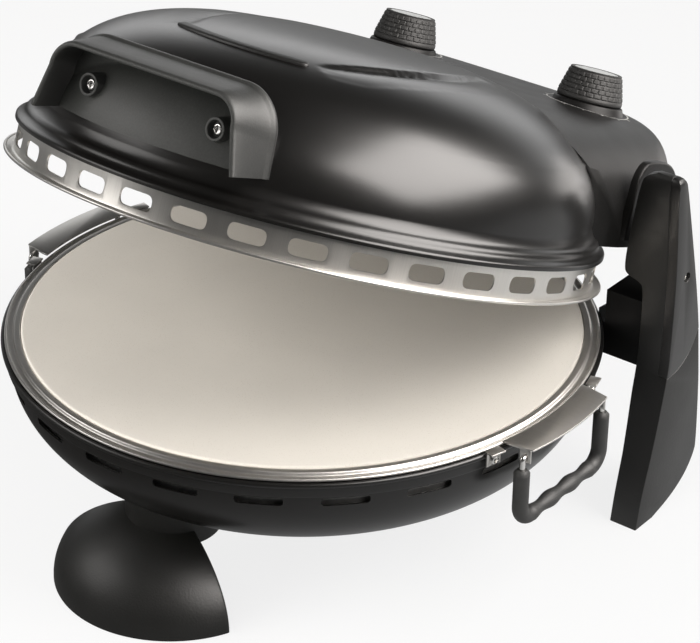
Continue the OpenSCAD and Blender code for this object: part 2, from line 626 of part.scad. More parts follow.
// ---------- lid ----------
module dome_solid(grow) rotate_extrude($fn = 180) polygon(concat([[0, ring_h]],
  dome_outline(-grow, dome_steps)));
module lid_dome() color(black) on_lid() difference() {
  rotate_extrude($fn = 180) polygon(concat(dome_outline(0, dome_steps),
    [for (i = [len(dome_outline(0, dome_steps)) - 1:-1:0]) dome_outline(dome_sheet, dome_steps)[i]]));
  for (x = side_names) translate([x * handle_screw_span / 2, 0, screw_z])
    rod_y(-hood_reach, -hood_boss_y + 30, screw_r);
}
module slotted_ring() color(steel) on_lid() difference() {
  union() {
    rotate_extrude($fn = 180) polygon([
      [ring_r - ring_sheet, 1.2], [ring_r - ring_sheet, ring_top - ring_sheet],
      [ring_lip_r, ring_top - ring_sheet], [ring_lip_r, ring_top], [ring_r, ring_top], [ring_r, 1.8],
      [ring_r + 0.5, ring_sheet], [ring_flare_r, ring_sheet], [ring_flare_r, 0.1], [ring_r - 0.2, 0.1]]);
    bead(ring_flare_r, flare_wire_r, flare_wire_r);
  }
  for (i = [0:slot_count - 1])
    wall_slot(ring_r, slot_turn + i * 360 / slot_count, slot_z, slot_len, slot_h, 3);
}
module upper_reflector() color(bright) on_lid() difference() {
  rotate_extrude($fn = 120) polygon(concat(
    [[upper_reflector_r + 7, ring_top], [upper_reflector_r + 7, ring_top + reflector_sheet],
     [upper_reflector_r + reflector_sheet, ring_top + reflector_sheet]],
    [for (i = [0:12]) upper_arc(i * 7.5, reflector_sheet)],
    [[0, upper_reflector_z + reflector_sheet], [0, upper_reflector_z]],
    [for (i = [12:-1:0]) upper_arc(i * 7.5, 0)], [[upper_reflector_r, ring_top]]));
  at_tails() translate([0, 0, upper_reflector_z - 3]) cylinder(r = heater_d / 2 + 1, h = 6, $fn = 32);
}
function upper_arc(a, grow) = [upper_reflector_r - upper_round + (upper_round + grow) * cos(a),
  upper_reflector_z - upper_round + (upper_round + grow) * sin(a)];
module upper_heater() color("#6b6661") on_lid() translate([0, 0, upper_heater_z]) heater_tube(tail_l);
module upper_heater_clips() color(steel) on_lid() heater_clips(upper_heater_z, upper_reflector_z);
module upper_terminals() color("#e8e2d2") on_lid()
  terminal_bushes(upper_reflector_z + reflector_sheet, bush_h);
// A plain raised bar that follows the front of the dome's top
module front_strip() color(dark) on_lid() difference() {
  intersection() {
    dome_solid(strip_t);
    translate([-strip_l / 2, -strip_y - strip_w / 2, hood_rear_top]) cube([strip_l, strip_w, dome_h]);
  }
  dome_solid(0.05);
}

// ---------- front handle ----------
module hood_outline(half_low, half_high, z_high, trim, low) polygon([
  for (x = side_names, i = [0:4]) let (a = x > 0 ? i * 22.5 : 90 - i * 22.5)
    [x * (half_high - trim - hood_round * (1 - cos(a))), z_high - trim - hood_round * (1 - sin(a))],
  [-half_low + trim, low], [half_low - trim, low]]);
module hood_form(trim, low) hull() {
  translate([0, -hood_reach, 0]) rotate([90, 0, 0]) linear_extrude(0.1)
    hood_outline(hood_w / 2, hood_w / 2 - hood_narrow, hood_front_top, trim, low);
  translate([0, hood_rear_y, 0]) rotate([90, 0, 0]) linear_extrude(0.1) hood_rear(trim, low);
}
module hood_rear(trim, low)
  hood_outline(hood_w / 2 + hood_flare, hood_w / 2 + hood_flare, hood_rear_top, trim, low);
module handle() color(black) on_lid() difference() {
  union() {
    difference() {
      hood_form(0, hood_low);
      translate([0, -0.3, 0]) hood_form(hood_wall, hood_low - 5);
      translate([0, 0.4, 0]) hood_form(hood_wall, hood_low - 5);
    }
    intersection() {
      hood_form(hood_wall - 0.2, hood_low);
      dome_solid(gap + hood_plate_r);
      translate([-hood_w, -hood_reach, hood_low])
        cube([2 * hood_w, hood_reach + hood_rear_y + 24, hood_rear_top]);
    }
    for (x = side_names) translate([x * handle_screw_span / 2, 0, screw_z])
      rod_y(-hood_boss_y, hood_rear_y + 4, hood_boss_r);
  }
  dome_solid(gap);
  for (x = side_names) translate([x * handle_screw_span / 2, 0, screw_z]) {
    rod_y(-hood_reach, hood_rear_y + 4, screw_r);
    rod_y(-hood_reach, -hood_boss_y + hood_recess, hood_recess_r);
  }
}
module handle_screws() color(bright) on_lid() for (x = side_names)
  translate([x * handle_screw_span / 2, -hood_boss_y + hood_recess, screw_z]) rotate([90, 0, 0])
    screw(screw_r, handle_screw_l, hood_recess_r - 0.8, 2);

// ---------- control housing ----------
function rear_round(inset) = concat(
  [for (i = [0:9]) let (a = -90 + i * 10) [housing_reach - round_low + (round_low - inset) * cos(a),
    housing_bottom + round_low + (round_low - inset) * sin(a)]],
  [for (i = [0:9]) let (a = i * 10) [housing_reach - round_rear + (round_rear - inset) * cos(a),
    housing_top - round_rear + (round_rear - inset) * sin(a)]]);
module housing_form(inset, bottom = housing_bottom) intersection() {
  translate([0, 0, bottom]) linear_extrude(housing_top) polygon(housing_outline(inset));
  translate([0, housing_reach + 1, 0]) rotate([90, 0, 0]) linear_extrude(housing_reach) polygon(concat(
    [[-housing_half + inset, 0]], housing_arch(inset), [[housing_half - inset, 0]]));
  translate([-housing_half - 1, 0, 0]) rotate([90, 0, 90]) linear_extrude(2 * housing_half + 2)
    polygon(concat(
    [[40, bottom], [housing_reach - round_low, bottom]], rear_round(inset), [[40, housing_top - inset]]));
}
housing_screw_places = [for (x = side_names) each [[x * (housing_half - 20), 128],
  [x * 60, housing_reach - 25]]];
module at_knobs() for (x = side_names) translate([x * knob_span / 2, knob_y, 0]) children();
module control_housing() color(dark) on_lid() difference() {
  union() {
    difference() {
      housing_form(0);
      difference() {
        housing_form(housing_wall, housing_bottom - 1);
        for (p = housing_screw_places) translate([p[0], p[1], 0])
          cylinder(r = 3 * screw_r, h = 2 * housing_top, $fn = 40);
      }
      translate([-2 * housing_half, 0, 0])
        cube([4 * housing_half, 2 * housing_reach, housing_bottom + base_t + gap]);
    }
    intersection() {
      difference() {
        housing_form(0);
        housing_form(housing_wall, housing_bottom - 1);
      }
      translate([-2 * housing_half, 0, 0])
        cube([4 * housing_half, 2 * housing_reach, housing_bottom + base_t + 1]);
    }
    at_knobs() translate([0, 0, boss_low])
      cylinder(r1 = knob_d / 2 + 4, r2 = knob_d / 2 + 1, h = knob_seat - boss_low);
  }
  dome_solid(gap);
  for (x = side_names) translate([x * (barrel_in + tongue_in) / 2, hinge_y, 0]) {
    translate([-(tongue_in - barrel_in) / 2 - gap, -barrel_block - 2, 0])
      cube([tongue_in - barrel_in + 2 * gap, 2 * barrel_block, barrel_z]);
  }
  at_knobs() cylinder(r = bushing_r + 0.1, h = 2 * housing_top, $fn = 40);
  for (p = housing_screw_places) translate([p[0], p[1], 0])
    cylinder(r = screw_r, h = housing_bottom + housing_screw_l + 2, $fn = 32);
  translate([gland_x, 0, gland_z]) rod_y(housing_reach - 12, housing_reach + 10, gland_r);
}
barrel_z = hinge_z + barrel_r + gap;
module housing_base() color(black) on_lid() difference() {
  union() {
    intersection() {
      translate([0, 0, housing_bottom]) linear_extrude(base_t) polygon(housing_outline(housing_wall + gap));
      translate([-2 * housing_half, 0, 0]) cube([4 * housing_half, housing_reach - round_low, housing_top]);
    }
    for (x = side_names) {
      translate([x * (barrel_in + tongue_in - gap) / 2, hinge_y, 0])
        translate([-(tongue_in - barrel_in - gap) / 2, -barrel_block, housing_bottom])
          cube([tongue_in - barrel_in - gap, barrel_block, hinge_z - housing_bottom + 3]);
      translate([0, hinge_y, hinge_z]) rod_x(min(x * barrel_in, x * (tongue_in - gap)),
        max(x * barrel_in, x * (tongue_in - gap)), barrel_r);
    }
  }
  translate([0, 0, -1]) cylinder(r = flange_r + gap, h = housing_top, $fn = 180);
  for (x = side_names) translate([x * (barrel_in + tongue_in) / 2, hinge_y, hinge_z])
    rod_x(barrel_in - tongue_in, tongue_in - barrel_in, pin_r + fit);
  for (p = housing_screw_places) translate([p[0], p[1], 0]) cylinder(r = screw_r, h = housing_top, $fn = 32);
}
module housing_screws() color(bright) on_lid() for (p = housing_screw_places)
  translate([p[0], p[1], housing_bottom]) mirror([0, 0, 1]) screw(screw_r, housing_screw_l, 3.2, 1.6);
// Thin end caps on the housing, each with a rounded front edge beside a leg
module housing_cheeks() color(dark) on_lid() difference() {
  for (x = side_names) translate([x > 0 ? housing_half - cheek_in : -housing_half - cheek_t, 0, 0])
    rotate([90, 0, 90]) linear_extrude(cheek_in + cheek_t) polygon(cheek_edge);
  housing_form(-gap);
}
module cord_gland() color("#111111") on_lid() translate([gland_x, 0, gland_z]) difference() {
  union() {
    rod_y(housing_reach - 8, housing_reach + gland_out, gland_r);
    rod_y(housing_reach + 0.1, housing_reach + 3, gland_r + 2.5);
  }
  rod_y(housing_reach - 10, housing_reach + 12, gland_r - 2.4);
}

// ---------- controls ----------
module control(x, w) color("#8f8b84") on_lid() translate([x, knob_y, 0]) difference() {
  union() {
    translate([-w / 2, -control_size[0] / 2, boss_low - 2 - control_size[1]])
      cube([w, control_size[0], control_size[1]]);
    translate([0, 0, boss_low - 2]) cylinder(r = bushing_r + 3, h = 2, $fn = 40);
    translate([0, 0, boss_low - 1]) cylinder(r = bushing_r, h = knob_seat - boss_low + 3, $fn = 40);
  }
  translate([0, 0, shaft_low - 1]) cylinder(r = shaft_r + fit, h = housing_top, $fn = 40);
}
module thermostat() control(-knob_span / 2, thermostat_w);
module timer() control(knob_span / 2, timer_w);
module control_nuts() color(bright) on_lid() at_knobs() translate([0, 0, knob_seat]) difference() {
  cylinder(r = bushing_r + 3, h = 2, $fn = 6);
  translate([0, 0, -1]) cylinder(r = bushing_r, h = 4, $fn = 40);
}
module shaft(x) color(steel) on_lid() translate([x, knob_y, shaft_low])
  cylinder(r = shaft_r, h = knob_seat + shaft_out - shaft_low, $fn = 40);
module shaft_left() shaft(-knob_span / 2);
module shaft_right() shaft(knob_span / 2);
knob_top_r = knob_d / 2 - 3.4;
module knob(x) color("#2b2a29") on_lid() translate([x, knob_y, knob_seat + gap]) difference() {
  rotate_extrude($fn = 96) polygon([[0, 3.2], [bushing_r + 4, 3.2], [bushing_r + 4, 0], [knob_d / 2, 0],
    [knob_d / 2, 4], [knob_top_r, knob_h - 0.8], [knob_top_r - 0.8, knob_h], [knob_cap_r, knob_h],
    [knob_cap_r, knob_h - 1], [0, knob_h - 1]]);
  cylinder(r = shaft_r, h = shaft_out - gap, $fn = 40);
}
module knob_left() knob(-knob_span / 2);
module knob_right() knob(knob_span / 2);
module knob_cap(x) color(steel) on_lid() translate([x, knob_y, knob_seat + gap + knob_h - 1])
  cylinder(r = knob_cap_r, h = 0.9, $fn = 96);
module knob_cap_left() knob_cap(-knob_span / 2);
module knob_cap_right() knob_cap(knob_span / 2);

stone();
tray_ring();
side_plate_left();
side_plate_right();
tray_clips();
tray_screws();
bail_wire_left();
bail_wire_right();
bail_grip_left();
bail_grip_right();
bowl();
bowl_rim();
lower_reflector();
lower_heater();
lower_heater_clips();
lower_terminals();
front_foot();
front_foot_pad();
front_foot_screw();
leg_left();
leg_right();
leg_cover_left();
leg_cover_right();
leg_screws();
leg_pads();
hinge_arm_left();
hinge_arm_right();
hinge_pins();
arm_bolts();
lid_dome();
slotted_ring();
upper_reflector();
upper_heater();
upper_heater_clips();
upper_terminals();
front_strip();
handle();
handle_screws();
control_housing();
housing_base();
housing_screws();
housing_cheeks();
cord_gland();
thermostat();
timer();
control_nuts();
shaft_left();
shaft_right();
knob_left();
knob_right();
knob_cap_left();
knob_cap_right();
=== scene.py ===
# %% [markdown]
# # An electric pizza maker
# A baking stone lies in a black bowl that stands on three feet. A domed lid with a
# slotted steel ring hinges behind it, and carries a hood to lift it by and a housing
# with two knobs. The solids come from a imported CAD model. This lesson gives each of
# them a finish, and swaps the ones with soft edges or fine relief for modelled meshes.

import json
import math

import bmesh
import bpy
import numpy as np
from mathutils import Matrix, Vector


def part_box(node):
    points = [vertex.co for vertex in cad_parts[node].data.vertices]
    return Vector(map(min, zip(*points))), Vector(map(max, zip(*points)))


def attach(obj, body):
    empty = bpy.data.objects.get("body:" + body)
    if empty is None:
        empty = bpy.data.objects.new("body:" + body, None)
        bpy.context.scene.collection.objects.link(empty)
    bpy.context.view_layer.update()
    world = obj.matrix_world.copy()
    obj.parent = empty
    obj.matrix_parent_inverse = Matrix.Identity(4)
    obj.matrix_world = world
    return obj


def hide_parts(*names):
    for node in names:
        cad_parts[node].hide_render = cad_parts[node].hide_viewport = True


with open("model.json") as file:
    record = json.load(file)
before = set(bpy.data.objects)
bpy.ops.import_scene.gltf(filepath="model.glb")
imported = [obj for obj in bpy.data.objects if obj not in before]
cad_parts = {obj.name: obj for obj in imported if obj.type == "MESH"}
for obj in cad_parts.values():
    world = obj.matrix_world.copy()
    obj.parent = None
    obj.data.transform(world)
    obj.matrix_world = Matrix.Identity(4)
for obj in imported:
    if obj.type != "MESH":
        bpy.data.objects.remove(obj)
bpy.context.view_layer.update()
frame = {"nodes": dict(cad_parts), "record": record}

# %% [markdown]
# ## Two places to measure from
# The bowl and the stone are drawn in millimetres round the middle of the stone's top.
# The lid is drawn closed, round the same middle, and turns back about its hinge. Two
# short functions carry points from those drawings into the shared frame, in metres. Two
# more give a point on a circle and the angles of a whole turn, and a last one keeps a
# number between 0 and 1.

# %% Places
low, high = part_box("stone")
MIDDLE = Vector(((low.x + high.x) / 2, (low.y + high.y) / 2, high.z))
HINGE_Y, HINGE_Z, LID_OPEN = 166.4, 29.8, math.radians(21.74)
SIDES = ((-1, "left"), (1, "right"))


def on_plate(points):
    points = np.asarray(points, float).reshape(-1, 3)
    return points / 1000 + np.array(MIDDLE)


def on_lid(points):
    points = np.asarray(points, float).reshape(-1, 3)
    back, up = points[:, 1] - HINGE_Y, points[:, 2] - HINGE_Z
    turn, rise = math.cos(LID_OPEN), math.sin(LID_OPEN)
    return on_plate(np.stack([points[:, 0], HINGE_Y + back * turn + up * rise,
                              HINGE_Z - back * rise + up * turn], axis=1))


def around(centre, radius, angle):
    """The point at a radius and an angle, in radians, round a centre."""
    return centre[0] + radius * math.cos(angle), centre[1] + radius * math.sin(angle)


def whole_turn(steps):
    return np.radians(np.linspace(0, 360, steps, endpoint=False))


def clamp(value):
    return min(1.0, max(0.0, value))


print("stone's middle", [round(v, 4) for v in MIDDLE])

# %% [markdown]
# ## Shader maths as plain expressions
# A finish is easier to read as a sum than as a tangle of nodes. `Signal` wraps one
# socket and answers to +, -, *, < and >, so `1 - mask` adds its own Math node.
# `Nodes` has one method for any other kind of node, and `Finish` starts a material.


# %% Signal
class Signal:
    """One varying value of a material, for use in sums."""

    def __init__(self, tree, socket):
        self.tree, self.socket = tree, socket

    def _maths(self, operation, *values):
        node = self.tree.nodes.new("ShaderNodeMath")
        node.operation = operation
        for value, port in zip(values, node.inputs):
            if isinstance(value, Signal):
                self.tree.links.new(value.socket, port)
            else:
                port.default_value = value
        return Signal(self.tree, node.outputs[0])

    def __add__(self, other):
        return self._maths("ADD", self, other)

    def __sub__(self, other):
        return self._maths("SUBTRACT", self, other)

    def __rsub__(self, other):
        return self._maths("SUBTRACT", other, self)

    def __mul__(self, other):
        return self._maths("MULTIPLY", self, other)

    def __gt__(self, other):
        return self._maths("GREATER_THAN", self, other)

    def __lt__(self, other):
        return self._maths("LESS_THAN", self, other)

    def held(self):
        """The same value, kept between 0 and 1."""
        return self._maths("MINIMUM", self._maths("MAXIMUM", self, 0.0), 1.0)

    __radd__, __rmul__ = __add__, __mul__


# %% Nodes
class Nodes:
    """A tree of shader nodes; settings are set first, then the sockets' values or links."""

    def __init__(self, tree):
        self.tree = tree

    def join(self, value, port):
        if isinstance(value, Signal):
            self.tree.links.new(value.socket, port)
        else:
            port.default_value = value

    def node(self, kind, settings=None, values=None, output=0):
        node = self.tree.nodes.new(kind)
        for key, value in (settings or {}).items():
            setattr(node, key, value)
        for key, value in (values or {}).items():
            self.join(value, node.inputs[key])
        return Signal(self.tree, node.outputs[output])


# %% Finish
class Finish(Nodes):
    """A material under construction, with the shader's plain settings set at once."""

    def __init__(self, name, colour, roughness, metal=0.0, **settings):
        self.material = bpy.data.materials.new(name)
        self.material.use_nodes = True
        super().__init__(self.material.node_tree)
        self.shader = self.tree.nodes["Principled BSDF"]
        self.shader.inputs["Base Color"].default_value = (*colour, 1)
        self.shader.inputs["Roughness"].default_value = roughness
        self.shader.inputs["Metallic"].default_value = metal
        for port, value in settings.items():
            self.shader.inputs[port.replace("_", " ")].default_value = value
        self.material.diffuse_color = (*colour, 1)

    def mix(self, amount, first, second):
        values = {0: amount, 6: first, 7: second}
        return self.node("ShaderNodeMix", {"data_type": "RGBA"}, values, output=2)

    def feed(self, port, value):
        self.join(value, self.shader.inputs[port])
        return self

    def bump(self, height, depth, strength=1.0):
        values = {"Height": height, "Distance": depth, "Strength": strength}
        return self.feed("Normal", self.node("ShaderNodeBump", {}, values))


# %% [markdown]
# ## Where a pattern lies
# Object coordinates stay with a piece when it moves, and are in metres here, so a
# noise of scale 1000 has grains of about a millimetre. Brushed metal needs them
# stretched along the direction of the brush.


# %% Coordinates and grains
def spot(finish):
    return finish.node("ShaderNodeTexCoord", output=3)


def grains(finish, scale, detail=2.0, where=None, roughness=0.5):
    values = {"Vector": where or spot(finish), "Scale": scale, "Detail": detail,
              "Roughness": roughness}
    return finish.node("ShaderNodeTexNoise", {}, values)


def stretched(finish, scales):
    return finish.node("ShaderNodeMapping", {}, {"Vector": spot(finish), "Scale": scales})


def shade(colour, factor):
    return tuple(min(1.0, c * factor) for c in colour[:3]) + (1.0,)


def mottled(finish, colour, pattern, darkest, lightest):
    """Lets the colour follow a pattern, between two multiples of itself."""
    return finish.feed("Base Color",
                       finish.mix(pattern, shade(colour, darkest), shade(colour, lightest)))


# %% [markdown]
# ## Painted steel
# The lid and the bowl are pressed steel with a baked satin paint. Such paint has a
# very fine orange peel that softens every highlight, and it varies a little in gloss
# where it has been wiped. Both come from noise, one in the bump and one in roughness.


# %% Satin paint
def satin_paint(name, colour, roughness, peel=0.00003):
    finish = Finish(name, colour, roughness, Specular_IOR_Level=0.5)
    wiped = grains(finish, 14, 3)
    finish.feed("Roughness", wiped * 0.10 + (roughness - 0.05))
    mottled(finish, colour, grains(finish, 260, 3), 0.85, 1.18)
    return finish.bump(grains(finish, 1500, 2) + grains(finish, 420, 1) * 0.5, peel, 0.6)


LID_PAINT = satin_paint("lid_paint", (0.0052, 0.0047, 0.0042), 0.30)
BOWL_ENAMEL = satin_paint("black_enamel", (0.0050, 0.0047, 0.0043), 0.30)
# The arms' paint is darker and reflects less than the lid's, as painted shade for the deep shadow they
# sit in.
ARM_PAINT = satin_paint("arm_metal", (0.0025, 0.0025, 0.0025), 0.5)
ARM_PAINT.feed("Specular IOR Level", 0.15)
print("paints", [f.material.name for f in (LID_PAINT, BOWL_ENAMEL, ARM_PAINT)])

# %% [markdown]
# ## Moulded plastic
# The hood, the housing, the legs and the foot are moulded in a tool that was spark
# eroded, which leaves a fine leathery grain. A cell pattern and a noise together
# give it. The noise varies the colour at random, and painted shade darkens the tiny
# hollow in the middle of each cell.


# %% Grained plastic
def grained_plastic(name, colour, roughness, cell=900, depth=0.00006):
    finish = Finish(name, colour, roughness)
    cells = finish.node("ShaderNodeTexVoronoi", {"feature": "SMOOTH_F1"},
                        {"Vector": spot(finish), "Scale": cell})
    cloud = grains(finish, 60, 4)
    # The cells darken each hollow as painted shade; the cloud varies the tone at random.
    mottled(finish, colour, cells * 0.7 + cloud * 0.4, 0.72, 1.35)
    finish.feed("Roughness", cloud * 0.12 + (roughness - 0.06))
    return finish.bump(cells + grains(finish, cell * 2.2, 2) * 0.6, depth, 0.7)


HOOD_PLASTIC = grained_plastic("handle_plastic", (0.026, 0.0268, 0.0250), 0.48, 1100)
HOUSING_PLASTIC = grained_plastic("housing_plastic", (0.0070, 0.0066, 0.0060), 0.44)
HOUSING_PLASTIC.feed("Specular IOR Level", 0.22)
LEG_PLASTIC = grained_plastic("leg_plastic", (0.0070, 0.0069, 0.0062), 0.45)
COVER_PLASTIC = grained_plastic("cover_plastic", (0.0100, 0.0095, 0.0090), 0.38, 700, 0.00003)
KNOB_PLASTIC = grained_plastic("knob_plastic", (0.013, 0.0125, 0.0115), 0.58, 1400)
print("plastics", HOUSING_PLASTIC.material.name, COVER_PLASTIC.material.name)

# %% [markdown]
# ## Rubber, stone and ceramic
# The grips and pads are matt rubber. The stone is pressed cordierite: pale cream, dry,
# with fine brown specks and open pores. The bushes of the heaters are a plain
# unglazed ceramic, so they share the stone's recipe with fainter specks.


# %% Rubber
def matt_rubber(name, colour):
    finish = Finish(name, colour, 0.6)
    finish.feed("Roughness", grains(finish, 90, 3) * 0.16 + 0.5)
    mottled(finish, colour, grains(finish, 300, 4), 0.8, 1.3)
    return finish.bump(grains(finish, 2200, 3), 0.00005, 0.6)


GRIP_RUBBER = matt_rubber("grip_rubber", (0.024, 0.024, 0.023))
FOOT_RUBBER = matt_rubber("foot_rubber", (0.013, 0.013, 0.013))


# %% Baked mineral
def baked_mineral(name, colour, speckle):
    finish = Finish(name, colour, 0.88)
    cloud = grains(finish, 18, 5)
    specks = finish.node("ShaderNodeTexVoronoi", {}, {"Vector": spot(finish), "Scale": 900.0})
    dots = (specks < 0.16) * speckle * grains(finish, 40, 2)
    pale = finish.mix(cloud, shade(colour, 0.93), shade(colour, 1.05))
    finish.feed("Base Color", finish.mix(dots, pale, (0.35, 0.27, 0.18, 1)))
    finish.feed("Roughness", cloud * 0.1 + 0.82)
    return finish.bump(grains(finish, 700, 6, roughness=0.7) - dots * 0.6, 0.0001, 0.5)


STONE = baked_mineral("stone", (0.83, 0.785, 0.71), 0.5)
BUSH_CERAMIC = baked_mineral("bush_ceramic", (0.78, 0.75, 0.69), 0.15)

# %% [markdown]
# ## Steel
# The slotted ring is brushed from its lower edge to its upper one, the tray and side
# plates from left to right, and the wires and screws are polished. Brushing is a noise
# that is squeezed in one direction: it moves roughness and bump, and a little colour.


# %% Brushed and polished steel
def brushed_steel(name, colour, roughness, lay, scales, depth=0.00002):
    """lay gives the coordinates that the brush's grain follows, and scales stretch them."""
    finish = Finish(name, colour, roughness, 1.0)
    where = lay(finish, scales)
    coarse, fine = grains(finish, 1.0, 3, where), grains(finish, 3.1, 2, where)
    cloud = grains(finish, 25, 3)
    finish.feed("Roughness", coarse * 0.16 + cloud * 0.1 + (roughness - 0.13))
    mottled(finish, colour, coarse * 0.6 + fine * 0.4, 0.82, 1.15)
    return finish.bump(coarse + fine * 0.5, depth, 0.5)


def polished_steel(name, colour, roughness):
    finish = Finish(name, colour, roughness, 1.0)
    finish.feed("Roughness", grains(finish, 220, 3) * 0.1 + (roughness - 0.05))
    return finish.bump(grains(finish, 900, 2), 0.00001, 0.3)


# %% Directions of the brush
def round_the_middle(finish, scales):
    """Coordinates that run round the ring and up, each multiplied by its scale."""
    lid_middle = Vector(on_lid([[0, 0, 0]])[0])
    moved = finish.node("ShaderNodeVectorMath", {"operation": "SUBTRACT"},
                        {0: spot(finish), 1: tuple(lid_middle)})
    turned = finish.node("ShaderNodeVectorRotate", {"rotation_type": "X_AXIS"},
                         {"Vector": moved, "Angle": LID_OPEN})
    x, y, z = (finish.node("ShaderNodeSeparateXYZ", {}, {0: turned}, output=i) for i in range(3))
    angle = y._maths("ARCTAN2", y, x)
    return finish.node("ShaderNodeCombineXYZ", {}, {0: angle * scales[0], 1: z * scales[1], 2: 0.0})


SIDEWAYS, UPRIGHT = (120.0, 2200.0, 900.0), (300.0, 300.0, 40.0)
RING_STEEL = brushed_steel("ring_steel", (0.60, 0.585, 0.555), 0.34, round_the_middle, (330.0, 25.0))
TRAY_STEEL = brushed_steel("tray_steel", (0.58, 0.565, 0.54), 0.36, stretched, SIDEWAYS)
REFLECTOR = brushed_steel("reflector", (0.62, 0.62, 0.61), 0.42, stretched, UPRIGHT)
CONTROL_METAL = brushed_steel("control_metal", (0.50, 0.49, 0.47), 0.45, stretched, UPRIGHT)
CAP_METAL = brushed_steel("cap_metal", (0.62, 0.63, 0.62), 0.38, stretched, SIDEWAYS)
SCREW_STEEL = polished_steel("screw_steel", (0.66, 0.65, 0.63), 0.20)

# %% [markdown]
# ## The heaters' tubes and the dials' ink
# A heater tube is dark oxidised steel, with a bronze and blue tint that wanders along
# it. One noise mixes the tint, another makes the surface patchy and dull. The ink of
# the dials is a flat pale grey, a little uneven as a thin print is.

# %% Heater tube
HEATER_TUBE = Finish("heater_tube", (0.12, 0.11, 0.10), 0.5, 0.85)
tint = HEATER_TUBE.mix(grains(HEATER_TUBE, 35, 3), (0.15, 0.10, 0.07, 1), (0.09, 0.10, 0.13, 1))
HEATER_TUBE.feed("Base Color", tint).feed("Roughness", grains(HEATER_TUBE, 160, 4) * 0.3 + 0.35)
HEATER_TUBE.bump(grains(HEATER_TUBE, 800, 3), 0.00004, 0.5)

# %% Dial ink
PRINT = Finish("dial_print", (0.62, 0.61, 0.58), 0.6)
PRINT.feed("Base Color", PRINT.mix(grains(PRINT, 500, 3), (0.50, 0.49, 0.46, 1), (0.72, 0.71, 0.68, 1)))
print("finishes", len(bpy.data.materials))

# %% [markdown]
# ## Meshes from rows of points
# Nearly every form here is a skin over rows of points: a profile turned round an axis,
# or one carried along a path. `skin` joins the rows with quads, closes them where
# asked, and marks as sharp only the edges that really are.


# %% Skin
def smooth(mesh, sharp):
    mesh.shade_smooth()
    mesh.set_sharp_from_angle(angle=math.radians(sharp))


def settle(name, mesh, sharp=35):
    form = bmesh.new()
    form.from_mesh(mesh)
    bmesh.ops.remove_doubles(form, verts=form.verts, dist=2e-6)
    bmesh.ops.recalc_face_normals(form, faces=form.faces)
    form.to_mesh(mesh)
    form.free()
    smooth(mesh, sharp)
    piece = bpy.data.objects.new(name, mesh)
    bpy.context.scene.collection.objects.link(piece)
    return piece


def skin(name, rows, place, along=False, closed=True, caps=False, sharp=35):
    """Joins rows of points; along closes the run of rows, and closed closes each row."""
    rows = np.asarray(rows, float)
    count, width = rows.shape[:2]
    faces = []
    for i in range(count if along else count - 1):
        for j in range(width if closed else width - 1):
            a, b = i * width, ((i + 1) % count) * width
            k = (j + 1) % width
            faces.append((a + j, a + k, b + k, b + j))
    if caps:
        faces += [tuple(range(width))[::-1], tuple(range((count - 1) * width, count * width))]
    mesh = bpy.data.meshes.new(name)
    mesh.from_pydata([tuple(p) for p in place(rows)], [], faces)
    return settle(name, mesh, sharp)


# %% Softened corners and turned forms
def softened(outline, reach, steps=4, closed=True):
    """Rounds each corner of a flat outline; reach is one number or one for each corner."""
    points = [Vector(p) for p in outline]
    out = []
    for i, p in enumerate(points):
        r = reach[i] if isinstance(reach, (list, tuple)) else reach
        if r == 0 or (not closed and i in (0, len(points) - 1)):
            out.append(tuple(p))
            continue
        a, b = points[i - 1] - p, points[(i + 1) % len(points)] - p
        a, b = a.normalized() * min(r, a.length * 0.45), b.normalized() * min(r, b.length * 0.45)
        for k in range(steps + 1):
            t = k / steps
            out.append(tuple(p + a * (1 - t) ** 2 + b * t ** 2))
    return out


def turned(name, profile, place, centre=(0, 0), steps=240, closed=True, sharp=35):
    profile = np.asarray(profile, float)
    rows = [[(*around(centre, r, a), z) for r, z in profile] for a in whole_turn(steps)]
    return skin(name, rows, place, along=True, closed=closed, sharp=sharp)


# %% Dress a piece
def dress(piece, finish, body, slot, *nodes):
    piece.data.materials.clear()
    piece.data.materials.append(finish.material)
    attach(piece, body)
    if nodes:
        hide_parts(*nodes)
    print(piece.name, "rides on", body, "with", len(piece.data.vertices), "points")
    return piece


def applied(piece, kind, **settings):
    """Adds a modifier and applies it at once, so that the piece is a plain mesh."""
    modifier = piece.modifiers.new(kind.title(), kind)
    for key, value in settings.items():
        setattr(modifier, key, value)
    bpy.context.view_layer.update()
    shape = bpy.data.meshes.new_from_object(piece.evaluated_get(bpy.context.evaluated_depsgraph_get()))
    piece.modifiers.clear()
    piece.data = shape
    return piece


# %% [markdown]
# ## Real edges on plain solids
# A CAD solid has perfectly sharp edges, and no real part has. `eased` copies a solid,
# melts its flat facets into whole faces, and rounds the edges by about a millimetre at
# most, so that each edge catches the light.


# %% Eased edges
def eased(node, width=0.4, angle=38, segments=2):
    source = frame["nodes"][node]
    mesh = source.data.copy()
    form = bmesh.new()
    form.from_mesh(mesh)
    bmesh.ops.remove_doubles(form, verts=form.verts, dist=5e-6)
    bmesh.ops.dissolve_limit(form, angle_limit=math.radians(1.0), verts=form.verts, edges=form.edges)
    form.to_mesh(mesh)
    form.free()
    piece = settle(node + ".eased", mesh, angle)
    if width:
        applied(piece, "BEVEL", width=width / 1000, segments=segments, limit_method="ANGLE",
                angle_limit=math.radians(angle), use_clamp_overlap=True)
        smooth(piece.data, angle)
    return piece


# %% Dress a solid
slots = {part["node"]: part["material_slot"] for part in frame["record"]["subparts"]}
bodies = frame["record"]["behaviour"]["bodies"].items()
owner = {node: body for body, nodes in bodies for node in nodes}


def dress_solid(node, finish, width, angle=38, segments=2):
    """Gives a CAD solid eased edges and a finish, and sets it on the body of its record."""
    dress(eased(node, width, angle, segments), finish, owner[node], slots[node], node)


# %% [markdown]
# ## Stone and tray
# The stone is a flat round slab with an eased upper edge. The tray round it is one
# spun sheet: a ledge under the stone, a wall, a narrow step and a rolled bead. Both
# are turned from their profile, and the profile's corners are softened first.

